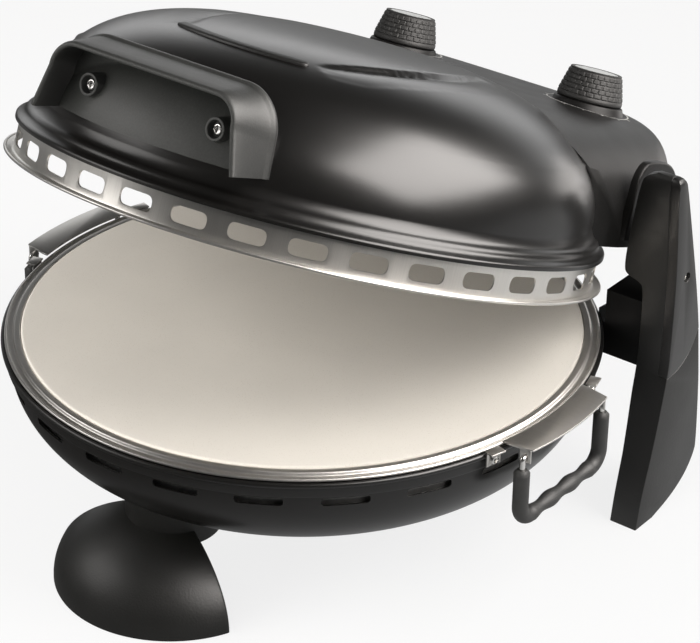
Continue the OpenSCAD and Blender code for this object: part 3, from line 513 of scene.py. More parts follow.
# %% Stone and tray
STONE_R = 155.0
stone_edge = softened([(0.0, -12), (STONE_R, -12), (STONE_R, 0), (0.0, 0)], [0, 1.0, 1.6, 0])
stone = turned("stone.slab", stone_edge, on_plate, closed=False)
dress(stone, STONE, "base", "stone", "stone")

tray_edge = softened([(139.4, -13.3), (139.4, -12.3), (155.4, -12.3), (155.4, -0.8), (158.8, -0.8),
                      (159.6, -2.6), (162.2, -2.5), (162.6, -1.8), (163.2, -1.45), (164.0, -1.8),
                      (164.3, -2.5), (164.0, -3.2), (163.2, -3.6), (162.4, -3.2), (158.9, -3.6),
                      (158.0, -1.8), (156.4, -1.8), (156.4, -13.3)],
                     [0.3, 0.3, 0.8, 0.5, 0.6, 0.5] + [0.3] * 8 + [0.4, 0.4, 0.4, 0.6], 3)
tray = turned("tray_ring.spun", tray_edge, on_plate, steps=300)
dress(tray, TRAY_STEEL, "base", "tray_steel", "tray_ring")

# %% [markdown]
# ## Side plates, clips and screws
# Two curved plates ride on the tray's rim to carry the bails, each with two ears bent
# down. Small clips and cross-head screws hold them. Their CAD solids have the right
# shape, so they only get eased edges.

# %% Side plates
for side, name in SIDES:
    dress_solid("side_plate_" + name, TRAY_STEEL, 0.25)
dress_solid("tray_clips", TRAY_STEEL, 0.2)
dress_solid("tray_screws", SCREW_STEEL, 0.12)

# %% [markdown]
# ## Bails
# Each bail is a steel wire with a rubber grip moulded over it. The grip is a tube whose
# thickness waves along its bar, to fit three fingers, so it is a circle carried along
# a path with a radius for every step. The wire's end bends inwards through its ear.


# %% Tubes along a path
def tube(name, path, radii, place, sides=28, sharp=50):
    path = np.asarray(path, float)
    ahead = np.gradient(path, axis=0)
    ahead /= np.linalg.norm(ahead, axis=1)[:, None]
    side = np.array([1.0, 0.0, 0.0])
    rows = []
    for point, way, radius in zip(path, ahead, radii):
        other = np.cross(way, side)
        rows.append([point + radius * (math.cos(t) * side + math.sin(t) * other)
                     for t in whole_turn(sides)])
    return skin(name, rows, place, caps=True, sharp=sharp)


def bend(corner, start, end, steps=10):
    """A quarter turn from start to end, whose tangents meet at the corner."""
    corner, start, end = np.array([corner, start, end], float)
    centre = start + end - corner
    turns = np.radians(np.linspace(0, 90, steps + 1))
    return [tuple(centre + (start - centre) * math.cos(t) + (end - centre) * math.sin(t)) for t in turns]


# %% The grip and its wire
EAR_Y, BAIL_X, PIVOT_Z, BAR_Z = 36.8, 173.5, -5.6, -43.6
GRIP_TOP, GRIP_R, GRIP_BEND, WAVES, WAVY = -12.2, 4.3, 9, 3, 55.6


def grip_path():
    leg = [(-EAR_Y, z) for z in np.linspace(GRIP_TOP, BAR_Z + GRIP_BEND + 1, 12)]
    corner = bend((-EAR_Y, BAR_Z), (-EAR_Y, BAR_Z + GRIP_BEND), (-EAR_Y + GRIP_BEND, BAR_Z))
    reach = EAR_Y - GRIP_BEND - 1
    bar = [(y, BAR_Z) for y in np.linspace(-reach, reach, 60)]
    far = [(-y, z) for y, z in (leg + corner)][::-1]
    return leg + corner + bar + far


def grip_radius(y, z):
    """Thick and thin in waves along the bar, and rounded off at the top of each leg."""
    if abs(y) < EAR_Y - GRIP_BEND:
        return GRIP_R * (0.92 + 0.13 * math.cos(2 * math.pi * WAVES * (y + WAVY / 2) / WAVY))
    ease = clamp((GRIP_TOP - z) / 1.4)
    return GRIP_R * (0.62 + 0.38 * math.sqrt(1 - (1 - ease) ** 2))


for side, name in SIDES:
    flat = grip_path()
    grip = tube("bail_grip_%s.rubber" % name, [(side * BAIL_X, y, z) for y, z in flat],
                [grip_radius(y, z) for y, z in flat], on_plate)
    dress(grip, GRIP_RUBBER, "bail_" + name, "grip_rubber", "bail_grip_" + name)

# %% Wires
WIRE_R, WIRE_BEND = 1.58, 1.7
for side, name in SIDES:
    form = bmesh.new()
    for end in (-1, 1):
        hook = [(end * EAR_Y, z) for z in (-23, -18, -13, -9, -7.3)]
        hook += bend((end * EAR_Y, PIVOT_Z), (end * EAR_Y, PIVOT_Z - WIRE_BEND),
                     (end * (EAR_Y - WIRE_BEND), PIVOT_Z), 6)
        hook += [(end * (EAR_Y - 3), PIVOT_Z), (end * (EAR_Y - 5), PIVOT_Z)]
        path = [(side * BAIL_X, y, z) for y, z in hook]
        wire = tube("wire", path, [WIRE_R] * len(path), on_plate, 20)
        form.from_mesh(wire.data)
        bpy.data.objects.remove(wire)
    whole = bpy.data.meshes.new("bail_wire_" + name)
    form.to_mesh(whole)
    form.free()
    bent = settle("bail_wire_%s.bent" % name, whole, 50)
    dress(bent, SCREW_STEEL, "bail_" + name, "screw_steel", "bail_wire_" + name)

# %% [markdown]
# ## The bowl
# The bowl is deep-drawn: a straight band, then a wall that is nearly upright at first
# and sweeps round to a flat bottom. Its profile is a superellipse. Slots are punched
# through just under the band, so the turned wall is cut by a row of slot cutters.

# %% The bowl's wall
BOWL_R, BOWL_TOP, BOWL_DEPTH = 162.5, -13, 55
DOWN_POWER, ACROSS_POWER = 1.9, 5


def bowl_profile(inset, steps=56):
    profile = []
    for i in range(steps + 1):
        down = math.sin(math.radians(90 * i / steps))
        r = BOWL_R * max(0.0, 1 - down ** DOWN_POWER) ** (1 / ACROSS_POWER)
        profile.append((max(r - inset, 0.0), BOWL_TOP - down * (BOWL_DEPTH - inset)))
    return profile


outer = [(164.5, -6.4), (164.5, -11.6), (164.2, -12.2), (163.2, -12.6)] + bowl_profile(0)
inner = [(163.3, -6.4), (163.3, -11.6), (162.6, -12.2)] + bowl_profile(1.2)
bowl = turned("bowl.drawn", outer + inner[::-1], on_plate, steps=260)


# %% Slot cutters
def slot_cutter(name, places, radius, height, length, width, corner, place, reach=7):
    """Rounded bars that point outwards, one at each angle, as one mesh for a boolean cut."""
    outline = softened([(-length / 2, -width / 2), (length / 2, -width / 2), (length / 2, width / 2),
                        (-length / 2, width / 2)], corner, 6)
    form = bmesh.new()
    for degrees in places:
        a = math.radians(degrees)
        out, along = Vector((math.cos(a), math.sin(a), 0)), Vector((-math.sin(a), math.cos(a), 0))
        rings = []
        for r in (radius - reach, radius + reach):
            points = [tuple(out * r + along * u + Vector((0, 0, height + v))) for u, v in outline]
            rings.append([form.verts.new(p) for p in place(points)])
        near, far = rings
        form.faces.new(near[::-1])
        form.faces.new(far)
        for i in range(len(outline)):
            j = (i + 1) % len(outline)
            form.faces.new((near[i], near[j], far[j], far[i]))
    mesh = bpy.data.meshes.new(name)
    form.to_mesh(mesh)
    form.free()
    return settle(name, mesh)


def cut(piece, cutter, sharp=35):
    applied(piece, "BOOLEAN", object=cutter, operation="DIFFERENCE", solver="EXACT")
    bpy.data.objects.remove(cutter)
    smooth(piece.data, sharp)


vents = [-90 + k * 15.6 for k in range(-5, 6)] + [90 + k * 15.6 for k in range(-2, 3)]
cut(bowl, slot_cutter("vents", vents, BOWL_R, -16.5, 25, 4.6, 2.0, on_plate))
dress(bowl, BOWL_ENAMEL, "base", "black_enamel", "bowl")

# %% The bowl's rolled rim
roll = [around((164.7, -4.9), 1.5, math.radians(a)) for a in range(-120, 121, 15)]
rim_edge = [(160.5, -6.4), (164.0, -6.4)] + roll + [(163.4, -4.5), (160.5, -4.5)]
rim = turned("bowl_rim.rolled", rim_edge, on_plate, steps=300)
dress(rim, BOWL_ENAMEL, "base", "black_enamel", "bowl_rim")

# %% [markdown]
# ## The front foot
# The foot is a thin domed shell, a little more than a third of a circle in plan, with
# a round pillar inside that carries the bowl. The shell's ends are rounded by drawing
# its last sections a little thinner.

# %% Front foot
FOOT_Y, FOOT_LOW, FOOT_R, FOOT_HIGH, FOOT_WALL = -109.7, -110.5, 66, 44, 3


def foot_section(thin):
    arc = [math.radians(90 * i / 28) for i in range(29)]
    faces = []
    for inset in (thin, FOOT_WALL - thin):
        faces.append([((FOOT_R - inset) * math.cos(a), FOOT_LOW + (FOOT_HIGH - inset) * math.sin(a))
                      for a in arc])
    return faces[0] + faces[1][::-1]


sweep = [(-157.5, 1.1), (-157.3, 0.6), (-156.9, 0.2), (-156.2, 0.0)]
sweep += [(a, 0.0) for a in np.linspace(-155, -25, 72)] + [(-180 - a, t) for a, t in sweep[::-1]]
rows = [[(*around((0, FOOT_Y), r, math.radians(a)), z) for r, z in foot_section(thin)]
        for a, thin in sweep]
foot = skin("front_foot.shell", rows, on_plate, caps=True)
dress(foot, LEG_PLASTIC, "base", "leg_plastic", "front_foot")


# %% Pillar
PILLAR_R, PILLAR_LOW = 26, -79


def bowl_height(x, y):
    across = math.hypot(x, y) / BOWL_R
    return BOWL_TOP - BOWL_DEPTH * max(0.0, 1 - across ** ACROSS_POWER) ** (1 / DOWN_POWER)


rows = []
for share in (0.0, 0.01, 0.03, 0.2, 0.5, 0.8, 1.0):
    inset = 1.0 - min(1.0, share / 0.03)
    row = []
    for a in whole_turn(96):
        tip = bowl_height(*around((0, FOOT_Y), PILLAR_R, a)) - 0.2
        row.append((*around((0, FOOT_Y), PILLAR_R - inset, a), PILLAR_LOW + share * (tip - PILLAR_LOW)))
    rows.append(row)
pillar = skin("front_foot.pillar", rows, on_plate, caps=True)
dress(pillar, LEG_PLASTIC, "base", "leg_plastic", "front_foot")
dress_solid("front_foot_pad", FOOT_RUBBER, 0.4)
dress_solid("front_foot_screw", SCREW_STEEL, 0.15)

# %% [markdown]
# ## Rear legs
# Each rear leg is a tall moulding with a separate glossier cover over its upper part.
# The CAD solids follow its outline, and a generous easing of their edges gives the
# soft highlights along them. The hinge's arms, pins and bolts are dressed here as well.

# %% Rear legs
for side, name in SIDES:
    dress_solid("leg_" + name, LEG_PLASTIC, 1.2, 30, 3)
    dress_solid("leg_cover_" + name, COVER_PLASTIC, 0.8, 30, 3)
    dress_solid("hinge_arm_" + name, ARM_PAINT, 0.8, 30)
dress_solid("leg_screws", SCREW_STEEL, 0.12)
dress_solid("leg_pads", FOOT_RUBBER, 0.4)
dress_solid("hinge_pins", SCREW_STEEL, 0.3)
dress_solid("arm_bolts", SCREW_STEEL, 0.3)

# %% [markdown]
# ## The dome
# The lid's dome is drawn like the bowl, with a flange and a small step at its foot. Two
# long crescents are pressed into its top, each with a crisp inner edge and a slope that
# fades outwards. The turned mesh is fine enough to be pushed down along them.

# %% The dome's profile
DOME_R, DOME_LOW, DOME_HIGH = 152.1, 29.3, 66.6
UP_POWER, OUT_POWER = 2.12, 3.22


def dome_radius(z):
    return DOME_R * (1 - clamp((z - DOME_LOW) / DOME_HIGH) ** UP_POWER) ** (1 / OUT_POWER)


def dome_height(r):
    return DOME_LOW + DOME_HIGH * max(0.0, 1 - (min(r, DOME_R) / DOME_R) ** OUT_POWER) ** (1 / UP_POWER)


foot_edge = softened([(162.2, 17.3), (162.2, 19.6), (158.4, 21.6), (157.2, 24.6), (154.0, 26.6),
                      (DOME_R, 31.0)], [0, 1.3, 2.2, 1.7, 2.6, 0], 7, closed=False)
radii = [DOME_R * math.sin(math.radians(90 * i / 110)) for i in range(109, -1, -1)]
low_wall = [(dome_radius(z), z) for z in np.linspace(32, 48, 13)]
high_wall = [(r, dome_height(r)) for r in radii if r < dome_radius(49.5)]
outside = foot_edge + low_wall + high_wall
inside = [(0.0, 94.4), (100.0, 85.7), (140.0, 64.0), (150.6, 35.0), (150.6, 29.3), (155.4, 24.3),
          (156.1, 20.5), (160.7, 18.7), (160.9, 17.3)]
print("dome's profile has", len(outside) + len(inside), "points")

# %% Crescents pressed into the top
def resampled(line, count):
    """The same line with count points, in even shares between the given ones."""
    steps = np.linspace(0, len(line) - 1, count)
    return np.stack([np.interp(steps, range(len(line)), axis) for axis in zip(*line)], axis=1)


CRESCENT = resampled([(45, -84), (51, -70), (57, -55), (62, -39), (65, -22), (66.5, -5),
                      (66, 12), (63, 29), (58, 44)], 90)
LEFT_SHIFT, PRESS_DEPTH, PRESS_EDGE, PRESS_SLOPE, PRESS_REACH = 7, 3.6, 0.45, 6.5, 22


def crescent_depth(x, y, side):
    """How deep the press went at a place, from its distance to the crescent's inner edge."""
    line = CRESCENT * (side, 1) + (0 if side > 0 else LEFT_SHIFT, 0)
    away = np.hypot(line[:, 0] - x, line[:, 1] - y)
    nearest = int(away.argmin())
    along = nearest / (len(line) - 1)
    outward = (x * side - line[nearest, 0] * side) + 0.25 * (line[nearest, 1] - y) * (along - 0.5)
    if away.min() > PRESS_REACH:
        return 0.0
    taper = math.sin(math.pi * along) ** 0.6
    edge = 1 / (1 + math.exp(-outward / PRESS_EDGE))
    return PRESS_DEPTH * taper * edge * math.exp(-max(0.0, outward) / PRESS_SLOPE)


# %% Turn and press the dome
rows = []
for a in whole_turn(360):
    row = []
    for r, z in outside:
        x, y = around((0, 0), r, a)
        if 20 < r < 105:
            z -= crescent_depth(x, y, 1 if x > 0 else -1)
        row.append((x, y, z))
    rows.append(row + [(*around((0, 0), r, a), z) for r, z in inside])
dome = skin("lid_dome.pressed", rows, on_lid, along=True, sharp=60)
dress(dome, LID_PAINT, "lid", "lid_paint", "lid_dome")

# %% [markdown]
# ## The slotted ring
# Under the dome a steel band lets the steam out through 33 slots. Its foot flares into
# a small rolled lip. It is turned with that lip, and the slots are cut as the bowl's
# vents were.

# %% Slotted ring
RING_R, SLOTS = 159.5, 33
lip = [around((164.1, 0.9), 0.9, math.radians(a)) for a in range(-90, 151, 20)]
ring_edge = [(159.3, 0.1)] + lip
ring_edge += [(160.6, 1.0), (159.7, 1.5), (RING_R, 2.3), (RING_R, 18.4), (159.2, 18.8),
              (151.5, 18.8), (151.5, 17.8), (158.5, 17.8), (158.5, 1.2)]
band = turned("slotted_ring.spun", ring_edge, on_lid, steps=330)
places = [-85.8 + i * 360 / SLOTS for i in range(SLOTS)]
cut(band, slot_cutter("steam_slots", places, RING_R, 8.9, 19.4, 8.6, 3.9, on_lid))
dress(band, RING_STEEL, "lid", "tray_steel", "slotted_ring")

# %% [markdown]
# ## The front strip
# A raised bar lies across the front of the dome's top. It is bare here: a low bar with
# rounded shoulders that follows a circle round the dome from end to end.

# %% Front strip
STRIP_R, STRIP_TURN = 97.5, 26
rows = []
for u in np.linspace(-1, 1, 81):
    turn = math.radians(-90 + STRIP_TURN * u)
    swell = max(0.0, 1 - abs(u) ** 30) ** 0.5
    row = []
    for t in whole_turn(24):
        r = STRIP_R + 2.5 * swell * math.copysign(abs(math.cos(t)) ** 0.45, math.cos(t))
        lift = 1.5 * swell * math.sin(t) ** 0.45 if math.sin(t) > 0 else -0.4 * swell
        row.append((*around((0, 0), r, turn), dome_height(r) + lift))
    rows.append(row)
strip = skin("front_strip.bar", rows, on_lid, caps=True, sharp=60)
dress(strip, LEG_PLASTIC, "lid", "leg_plastic", "front_strip")

# %% [markdown]
# ## The hood
# The handle is a hood: an arch of thick plastic that stands out from the dome, with a
# raised bead at its rear edge and a rounded lip at its front. Its section is carried
# along the arch, from the front outline to the wider rear one. A plate behind the
# fingers follows the dome, with two round recesses for screws.


# %% The hood's arch
def arch(half_low, half_high, top, corner=11.0, low_z=36.0):
    side = [(half_low + (half_high - half_low) * k / 12, low_z + (top - corner - low_z) * k / 12)
            for k in range(12)]
    bow = [around((half_high - corner, top - corner), corner, a)
           for a in np.radians(np.linspace(0, 90, 14))]
    flat = [(x, top) for x in np.linspace(half_high - corner, 0, 14)[1:]]
    half = side + bow + flat
    return np.array(half + [(-x, z) for x, z in half[-2::-1]])


FRONT_ARCH, REAR_ARCH = arch(66.6, 60.5, 72.6, 14.5), arch(68.5, 67.5, 77.4, 23.0)


def outward(line):
    way = np.gradient(line, axis=0)
    way /= np.linalg.norm(way, axis=1)[:, None]
    return np.stack([way[:, 1], -way[:, 0]], axis=1)


# %% The hood's section
SECTION = [(-2.0, -133.4), (-1.2, -133.4), (-0.6, -133.9), (0.3, -134.3), (1.0, -135.2), (1.2, -136.4),
           (0.9, -137.6), (0.2, -138.4), (0.0, -139.4), (0.0, -145.0), (0.0, -152.0), (0.0, -158.6),
           (-0.3, -159.7), (-1.0, -160.4), (-1.9, -160.5), (-2.6, -160.0), (-3.0, -159.0), (-3.0, -152.0),
           (-3.0, -145.0), (-3.0, -139.0), (-3.0, -134.4), (-2.7, -133.4)]
normal_front, normal_rear = outward(FRONT_ARCH), outward(REAR_ARCH)
rows = []
for i in range(len(FRONT_ARCH)):
    row = []
    for out, y in SECTION:
        v = clamp((-134 - y) / 26.5)
        base = REAR_ARCH[i] + (FRONT_ARCH[i] - REAR_ARCH[i]) * v
        point = base + (normal_rear[i] * (1 - v) + normal_front[i] * v) * out
        reach = dome_radius(point[1]) + 0.3
        skim = -math.sqrt(max(0.0, reach ** 2 - point[0] ** 2)) if abs(point[0]) < reach else y
        row.append((point[0], min(y, skim), point[1]))
    rows.append(row)
hood = skin("handle.hood", rows, on_lid, caps=True, sharp=50)
dress(hood, HOOD_PLASTIC, "lid", "handle_plastic", "handle")

# %% The plate behind the fingers
WALL_Y, WALL_THICK = 135.4, 2.0
PLATE_LOW, PLATE_SHOULDER, PLATE_HIGH, PLATE_HALF, PLATE_ROUND = 36, 53, 75.1, 65.5, 22.2


def plate_line(half, z, lift, wall_y):
    """One level of the plate: flat at wall_y, or bulging with the dome where that is further."""
    across = np.linspace(-half, half, 72)
    return [(x, -max(wall_y, math.sqrt((dome_radius(z) + lift) ** 2 - x * x)), z) for x in across]


rows = []
for z in np.linspace(PLATE_LOW, PLATE_HIGH, 40):
    half = PLATE_HALF
    if z >= PLATE_SHOULDER:
        half += math.sqrt(max(0.0, PLATE_ROUND ** 2 - (z - PLATE_SHOULDER) ** 2)) - PLATE_ROUND
    front = plate_line(half, z, 2.9, WALL_Y)
    rows.append(front + plate_line(half, z, 0.3, WALL_Y - WALL_THICK)[::-1])
plate = skin("handle.plate", rows, on_lid, caps=True, sharp=60)
dress(plate, HOOD_PLASTIC, "lid", "handle_plastic", "handle")


# %% Recesses for the screws
def turned_along_y(name, profile, x, z, place, steps=64, sharp=40):
    """A form turned about an axis that points to the front; the profile is (radius, y)."""
    rows = [[(x + r * math.cos(a), y, z + r * math.sin(a)) for r, y in profile]
            for a in whole_turn(steps)]
    return skin(name, rows, place, along=True, closed=False, sharp=sharp)


boss = softened([(6.6, -140.0), (5.9, -149.6), (4.5, -149.6), (4.3, -145.5), (1.5, -145.5)],
                [0, 0.5, 0.4, 0.4, 0], 4, closed=False)
for side, name in SIDES:
    cup = turned_along_y("handle.recess_" + name, boss, side * 41.5, 52.8, on_lid)
    dress(cup, HOOD_PLASTIC, "lid", "handle_plastic", "handle")
dress_solid("handle_screws", SCREW_STEEL, 0.15)

# %% [markdown]
# ## The control housing
# Behind the dome sits a low rounded housing. Seen from the front it is an arch, and
# from above a wide D. Each slice across it is a box with a rounded rear, whose height
# and depth follow those two curves, and whose front follows the dome.

# %% Slices of the housing
HOUSING_HALF, HOUSING_LOW, HOUSING_HIGH = 138, 22, 62.5


def housing_top(x):
    return HOUSING_LOW + HOUSING_HIGH * math.sqrt(1 - min(1.0, abs(x) / HOUSING_HALF) ** 6.4)


def housing_rear(x):
    return 100 + 103 * (1 - min(1.0, abs(x) / HOUSING_HALF) ** 4) ** 0.4


def housing_front(x, z):
    taper = float(np.interp(abs(x), [108, 121, 131, 136.5, HOUSING_HALF], [50, 59, 71, 86, 99]))
    reach = dome_radius(z) - 0.9
    return max(taper, math.sqrt(max(0.0, reach ** 2 - x * x)))


def housing_slice(x):
    top, rear = housing_top(x), housing_rear(x)
    height = top - HOUSING_LOW
    round_top, round_low = min(24, height * 0.55), min(18, height * 0.3)
    rear = max(rear, housing_front(x, HOUSING_LOW) + 0.5)
    row = [(x, housing_front(x, z), z) for z in HOUSING_LOW + height * np.linspace(0, 1, 26)]
    front = row[-1][1]
    back = max(rear - round_top, front + 0.1)
    row += [(x, front + (back - front) * k / 8, top) for k in range(1, 8)]
    row += [(x, back + (rear - back) * math.cos(a), top - round_top + round_top * math.sin(a))
            for a in np.radians(np.linspace(90, 0, 14))]
    lower = max(rear - round_low, row[0][1] + 0.1)
    row += [(x, lower + (rear - lower) * math.cos(a), HOUSING_LOW + round_low * (1 + math.sin(a)))
            for a in np.radians(np.linspace(0, -90, 10))]
    return row


# %% Skin the housing
rows = []
for a in np.radians(np.linspace(-90, 90, 121)):
    share = math.copysign(abs(math.sin(a)) ** 0.7, math.sin(a))
    rows.append(housing_slice((HOUSING_HALF - 0.1) * share))
housing = skin("control_housing.shell", rows, on_lid, caps=True, sharp=50)
dress(housing, HOUSING_PLASTIC, "lid", "housing_plastic", "control_housing")

# %% Seats under the knobs
KNOB_X, KNOB_Y, KNOB_LOW = 66, 155, 87.4
SEAT = [(19.6, 87.1), (20.6, 84.6), (22.5, 80.0), (25.5, 73.5)]
seat = softened([(0.0, 87.1)] + SEAT, [0, 0.8, 1.6, 2.0, 0], 5, closed=False)
for side, name in SIDES:
    cone = turned("control_housing.seat_" + name, seat, on_lid, (side * KNOB_X, KNOB_Y), 96,
                  closed=False, sharp=50)
    dress(cone, HOUSING_PLASTIC, "lid", "housing_plastic", "control_housing")

# %% [markdown]
# ## Dial prints
# Round each knob a thin pale arc with short marks is printed on the housing. A print
# is a film of ink, so it is a narrow ribbon of mesh about a seventh of a millimetre
# above the surface that it follows.

# %% Points of ink
INK_LIFT = 0.14


def inked(side, radius, angle):
    """A point of ink on the housing, at a radius and an angle round the axis of a knob."""
    x, y = around((side * KNOB_X, KNOB_Y), radius, angle)
    away = math.hypot(abs(x) - KNOB_X, y - KNOB_Y)
    on_seat = float(np.interp(away, *zip(*SEAT))) if away < 25 else 0
    return x, y, max(housing_top(x), on_seat) + INK_LIFT


def ribbon(name, inner_line, outer_line):
    piece = skin(name, [inner_line, outer_line], on_lid, closed=False, sharp=60)
    dress(piece, PRINT, "lid", "cap_metal")


# %% Ribbons on the housing
for side, name in SIDES:
    angles = np.radians(np.linspace(-200, 60, 96))
    ribbon("dial_print.arc_" + name, *([inked(side, r, a) for a in angles] for r in (23.5, 24.5)))
    for k in range(9):
        middle = math.radians(-195 + k * 26)
        half = (0.4 if k % 2 else 0.7) / 26
        edges = [[inked(side, r, a) for r in (24.8, 25.6, 26.4)] for a in (middle - half, middle + half)]
        ribbon("dial_print.mark_%s_%d" % (name, k), *edges)

# %% [markdown]
# ## Knobs
# A knob is a short cone with courses of little bricks round it for grip, a plain foot
# band and a pale cap let into its top. The bricks stand out by four tenths of a
# millimetre. The turned cone has rows and columns fine enough to raise each of them.

# %% Brick relief
COURSES, BRICKS, BRICK_OUT = 5, 26, 0.42
KNOB_FOOT = [(0.0, 3.0), (8.0, 3.0), (9.0, 0.0), (18.0, 0.0), (18.7, 0.25), (18.9, 0.8),
             (18.9, 2.6), (18.5, 3.0)]
KNOB_TOP = [(14.9, 16.5), (15.0, 17.1), (14.6, 17.4), (13.2, 17.4), (12.9, 17.1), (12.8, 16.4),
            (0.0, 16.4)]


def brick_relief(turn, level):
    """1 on a brick and 0 in a joint; level runs from 0 to 1 up the courses."""
    course = min(COURSES - 1, int(level * COURSES))
    up = level * COURSES - course
    along = (turn * BRICKS + 0.5 * (course % 2)) % 1.0
    across = clamp((0.5 - abs(up - 0.5) - 0.05) / 0.10)
    return across * clamp((0.5 - abs(along - 0.5) - 0.04) / 0.08)


def knob_rows(side):
    rows = []
    for turn in np.arange(0, 1, 1 / (BRICKS * 16)):
        cone = [(18.5 - 3.5 * level + BRICK_OUT * brick_relief(turn, level), 3.2 + 13.0 * level)
                for level in np.linspace(0, 1, 71)]
        rows.append([(*around((side * KNOB_X, KNOB_Y), r, 2 * math.pi * turn), KNOB_LOW + z)
                     for r, z in KNOB_FOOT + cone + KNOB_TOP])
    return rows


# %% Build the knobs
crown = softened([(0.0, 17.3), (12.5, 17.25), (12.7, 16.9), (12.7, 16.3)], [0, 0.4, 0.2, 0],
                 closed=False)
crown = [(r, z + KNOB_LOW) for r, z in crown]
for side, name in SIDES:
    knob = skin("knob_%s.bricked" % name, knob_rows(side), on_lid, along=True, closed=False, sharp=60)
    dress(knob, KNOB_PLASTIC, "knob_" + name, "knob_plastic", "knob_" + name)
    cap = turned("knob_cap_%s.disc" % name, crown, on_lid, (side * KNOB_X, KNOB_Y), 96, closed=False)
    dress(cap, CAP_METAL, "knob_" + name, "cap_metal", "knob_cap_" + name)

# %% [markdown]
# ## What is left of the solids
# The rest keeps its CAD shape: the housing's bottom, the gland, and everything inside.
# The ones that can be seen get eased edges, the others only their finish and smooth
# shading. The housing's end cheeks are drawn anew, for the soft corners of their outline.

# %% Housing's small parts
dress_solid("housing_base", HOUSING_PLASTIC, 0.4)
dress_solid("housing_screws", SCREW_STEEL, 0.12)
dress_solid("cord_gland", FOOT_RUBBER, 0.5)

# %% End cheeks
CHEEK = softened([(98, 26), (97, 60), (100, 67), (106, 71), (128, 71), (140, 64), (146, 48),
                  (146, 30), (142, 26)], [2, 6, 7, 9, 12, 14, 10, 4, 3], 7)
middle_y, middle_z = np.mean(CHEEK, axis=0)
for side, name in SIDES:
    rows = []
    for x, inset in ((136.0, 0), (139.3, 0), (140.1, 0.35), (140.5, 0.9), (140.6, 1.7)):
        scale = 1 - inset / 24
        rows.append([(side * x, middle_y + (y - middle_y) * scale, middle_z + (z - middle_z) * scale)
                     for y, z in CHEEK])
    cheek = skin("housing_cheeks." + name, rows, on_lid, caps=True, sharp=45)
    dress(cheek, HOUSING_PLASTIC, "lid", "housing_plastic", "housing_cheeks")

# %% Pieces that keep their solid
INNER = {"reflector": REFLECTOR, "heater": HEATER_TUBE, "heater_clips": TRAY_STEEL,
         "terminals": BUSH_CERAMIC}
for what, finish in INNER.items():
    for level in ("lower_", "upper_"):
        dress_solid(level + what, finish, 0)
for node in ("thermostat", "timer"):
    dress_solid(node, CONTROL_METAL, 0)
for node in ("control_nuts", "shaft_left", "shaft_right"):
    dress_solid(node, SCREW_STEEL, 0)

# %% [markdown]
# ## Floor, light and camera
# The floor is a wide pale sheet, white to the camera. Glossy surfaces mirror it bright
# at the right and far at the left, dark close to the object's left, and fading about a
# metre in front and behind, as dark cards in a studio would do. A key light at the right
# lights the stone, and a wide soft card beside it is there only for the broad gleam on
# the dome. A low light at the front reaches the stone under the lid, and two soft ones
# at the left and the front lift the plastic. A small one behind draws the dome's right
# edge, without a shadow. The backdrop is bright low down behind the object, so the lid's
# flat top mirrors it. The camera stands where the photograph was taken from.

# %% Floor
floor_mesh = bpy.data.meshes.new("floor")
floor_mesh.from_pydata([(-6, -6, 0), (6, -6, 0), (6, 6, 0), (-6, 6, 0)], [], [(0, 1, 2, 3)])
floor = bpy.data.objects.new("floor", floor_mesh)
bpy.context.scene.collection.objects.link(floor)
paper = Finish("floor_paper", (0.86, 0.86, 0.86), 0.9)


def glowing(strength):
    return paper.node("ShaderNodeEmission", {}, {"Color": (1, 1, 1, 1), "Strength": strength})


def between(factor, first, second):
    return paper.node("ShaderNodeMixShader", {}, {0: factor, 1: first, 2: second})


seen = paper.node("ShaderNodeLightPath", output="Is Camera Ray")
mirrored = paper.node("ShaderNodeLightPath", output="Is Glossy Ray")
place = paper.node("ShaderNodeNewGeometry", output="Position")
east, north = (paper.node("ShaderNodeSeparateXYZ", {}, {0: place}, output=i) for i in range(2))
rightwards, forwards = east * 0.784 + north * 0.620, east * 0.620 - north * 0.784
lit = ((rightwards * 2.2 + 0.45).held() + ((-0.5 - rightwards) * 5).held()).held()
lit = lit * (1.6 - forwards * 1.4).held() * (1.0 + forwards * 0.9).held()
reflected = between(lit, glowing(0.02), glowing(0.8))
paper_seen = between(seen * 0.82, Signal(paper.tree, paper.shader.outputs[0]), glowing(1.0))
surface = between(mirrored * 0.9, paper_seen, reflected)
paper.join(surface, paper.tree.nodes["Material Output"].inputs["Surface"])
floor.data.materials.append(paper.material)

# %% World
world = bpy.data.worlds.new("studio")
bpy.context.scene.world = world
world.use_nodes = True
sky = Nodes(world.node_tree)
plain = sky.tree.nodes["Background"]
plain.inputs["Color"].default_value = (1, 1, 1, 1)
way = sky.node("ShaderNodeTexCoord", output="Generated")
toward_back = sky.node("ShaderNodeVectorMath", {"operation": "DOT_PRODUCT"},
                       {0: way, 1: (-0.50, 0.866, 0.0)}, output="Value")
high_up = sky.node("ShaderNodeSeparateXYZ", {}, {0: way}, output="Z")
backdrop = ((toward_back - 0.6) * 2.7).held() * ((0.34 - high_up) * 6).held()
glossy = sky.node("ShaderNodeLightPath", output="Is Glossy Ray")
seen = sky.node("ShaderNodeLightPath", output="Is Camera Ray")
level = seen + glossy * (backdrop * 1.9 + 0.06) + (1 - seen) * (1 - glossy) * 0.24
sky.join(level, plain.inputs["Strength"])


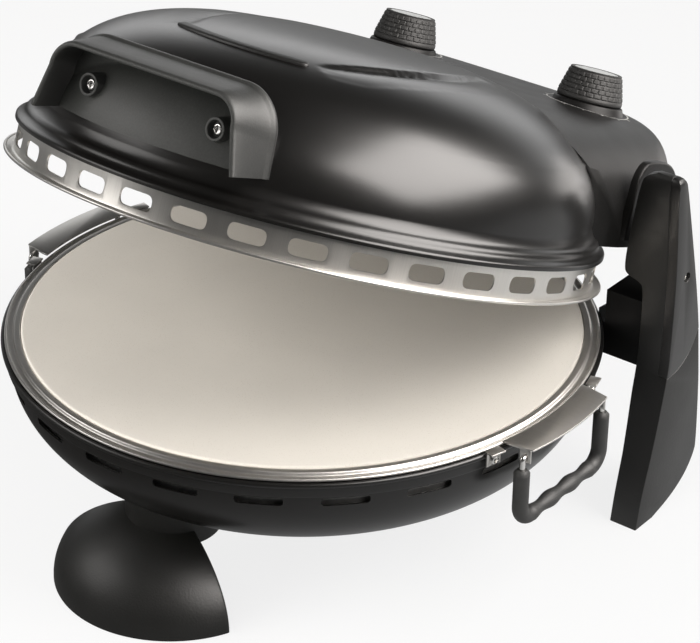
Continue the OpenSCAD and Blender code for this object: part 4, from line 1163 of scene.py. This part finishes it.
# %% Lamps
def soft_light(name, place, aim, width, height, power, matt=True, gleam=True, shadow=True):
    lamp = bpy.data.lights.new(name, "AREA")
    lamp.shape, lamp.size, lamp.size_y, lamp.energy = "RECTANGLE", width, height, power
    holder = bpy.data.objects.new(name, lamp)
    holder.location = place
    holder.visible_diffuse, holder.visible_glossy, holder.visible_camera = matt, gleam, False
    lamp.use_shadow = shadow
    lamp.color = (1.0, 0.975, 0.95) if matt else (1.0, 0.955, 0.92)
    holder.rotation_euler = (Vector(aim) - Vector(place)).to_track_quat("-Z", "Y").to_euler()
    bpy.context.scene.collection.objects.link(holder)


soft_light("key", (1.16, 0.38, 1.42), (0.05, -0.05, 0.2), 1.0, 0.9, 20, gleam=False)
soft_light("gleam", (1.00, 0.31, 1.12), (0.08, -0.05, 0.2), 1.8, 1.1, 80, matt=False)
soft_light("under_lid", (-0.35, -1.35, 0.48), (0, 0, 0.12), 1.0, 0.5, 12, gleam=False)
soft_light("left", (-1.10, -0.95, 0.95), (0, -0.05, 0.12), 1.0, 0.8, 9)
soft_light("front", (0.35, -1.25, 1.15), (0, -0.05, 0.1), 0.8, 0.5, 4, gleam=False)
soft_light("edge", (0.22, 0.66, 0.10), (0.13, 0.05, 0.16), 0.30, 0.30, 0.8, matt=False, shadow=False)

# %% Camera
WIDE, HIGH = 700, 643                       # the photograph, in pixels
AXIS_X, AXIS_Y = 328.4, 329.73              # where the lens's axis meets it
STONE_X, STONE_Y = 302.61, 315.74           # where the middle of the stone lies in it
FOCAL, AWAY, SENSOR = 2503.64, 1384.68, 36  # pixels, and millimetres
level_right, level_up = Vector((0.7844, 0.6202, 0)), Vector((-0.3055, 0.3863, 0.8703))
backwards = level_right.cross(level_up).normalized()
tilt = math.radians(0.47)
right = level_right * math.cos(tilt) + level_up * math.sin(tilt)
above = level_up * math.cos(tilt) - level_right * math.sin(tilt)
aside = right * ((STONE_X - AXIS_X) / FOCAL * AWAY) + above * ((AXIS_Y - STONE_Y) / FOCAL * AWAY)
eye = MIDDLE + (backwards * AWAY - aside) / 1000
lens = bpy.data.cameras.new("camera")
lens.sensor_width, lens.lens = SENSOR, FOCAL / WIDE * SENSOR
lens.shift_x, lens.shift_y = (WIDE / 2 - AXIS_X) / WIDE, (AXIS_Y - HIGH / 2) / WIDE
camera = bpy.data.objects.new("camera", lens)
axes = [[right[i], above[i], backwards[i], eye[i]] for i in range(3)]
camera.matrix_world = Matrix(axes + [[0, 0, 0, 1]])
bpy.context.scene.collection.objects.link(camera)
bpy.context.scene.camera = camera
bpy.context.scene.view_settings.view_transform = "Standard"
print("camera at", [round(v, 3) for v in eye])

# %% Bring the scene up to date
bpy.context.view_layer.update()
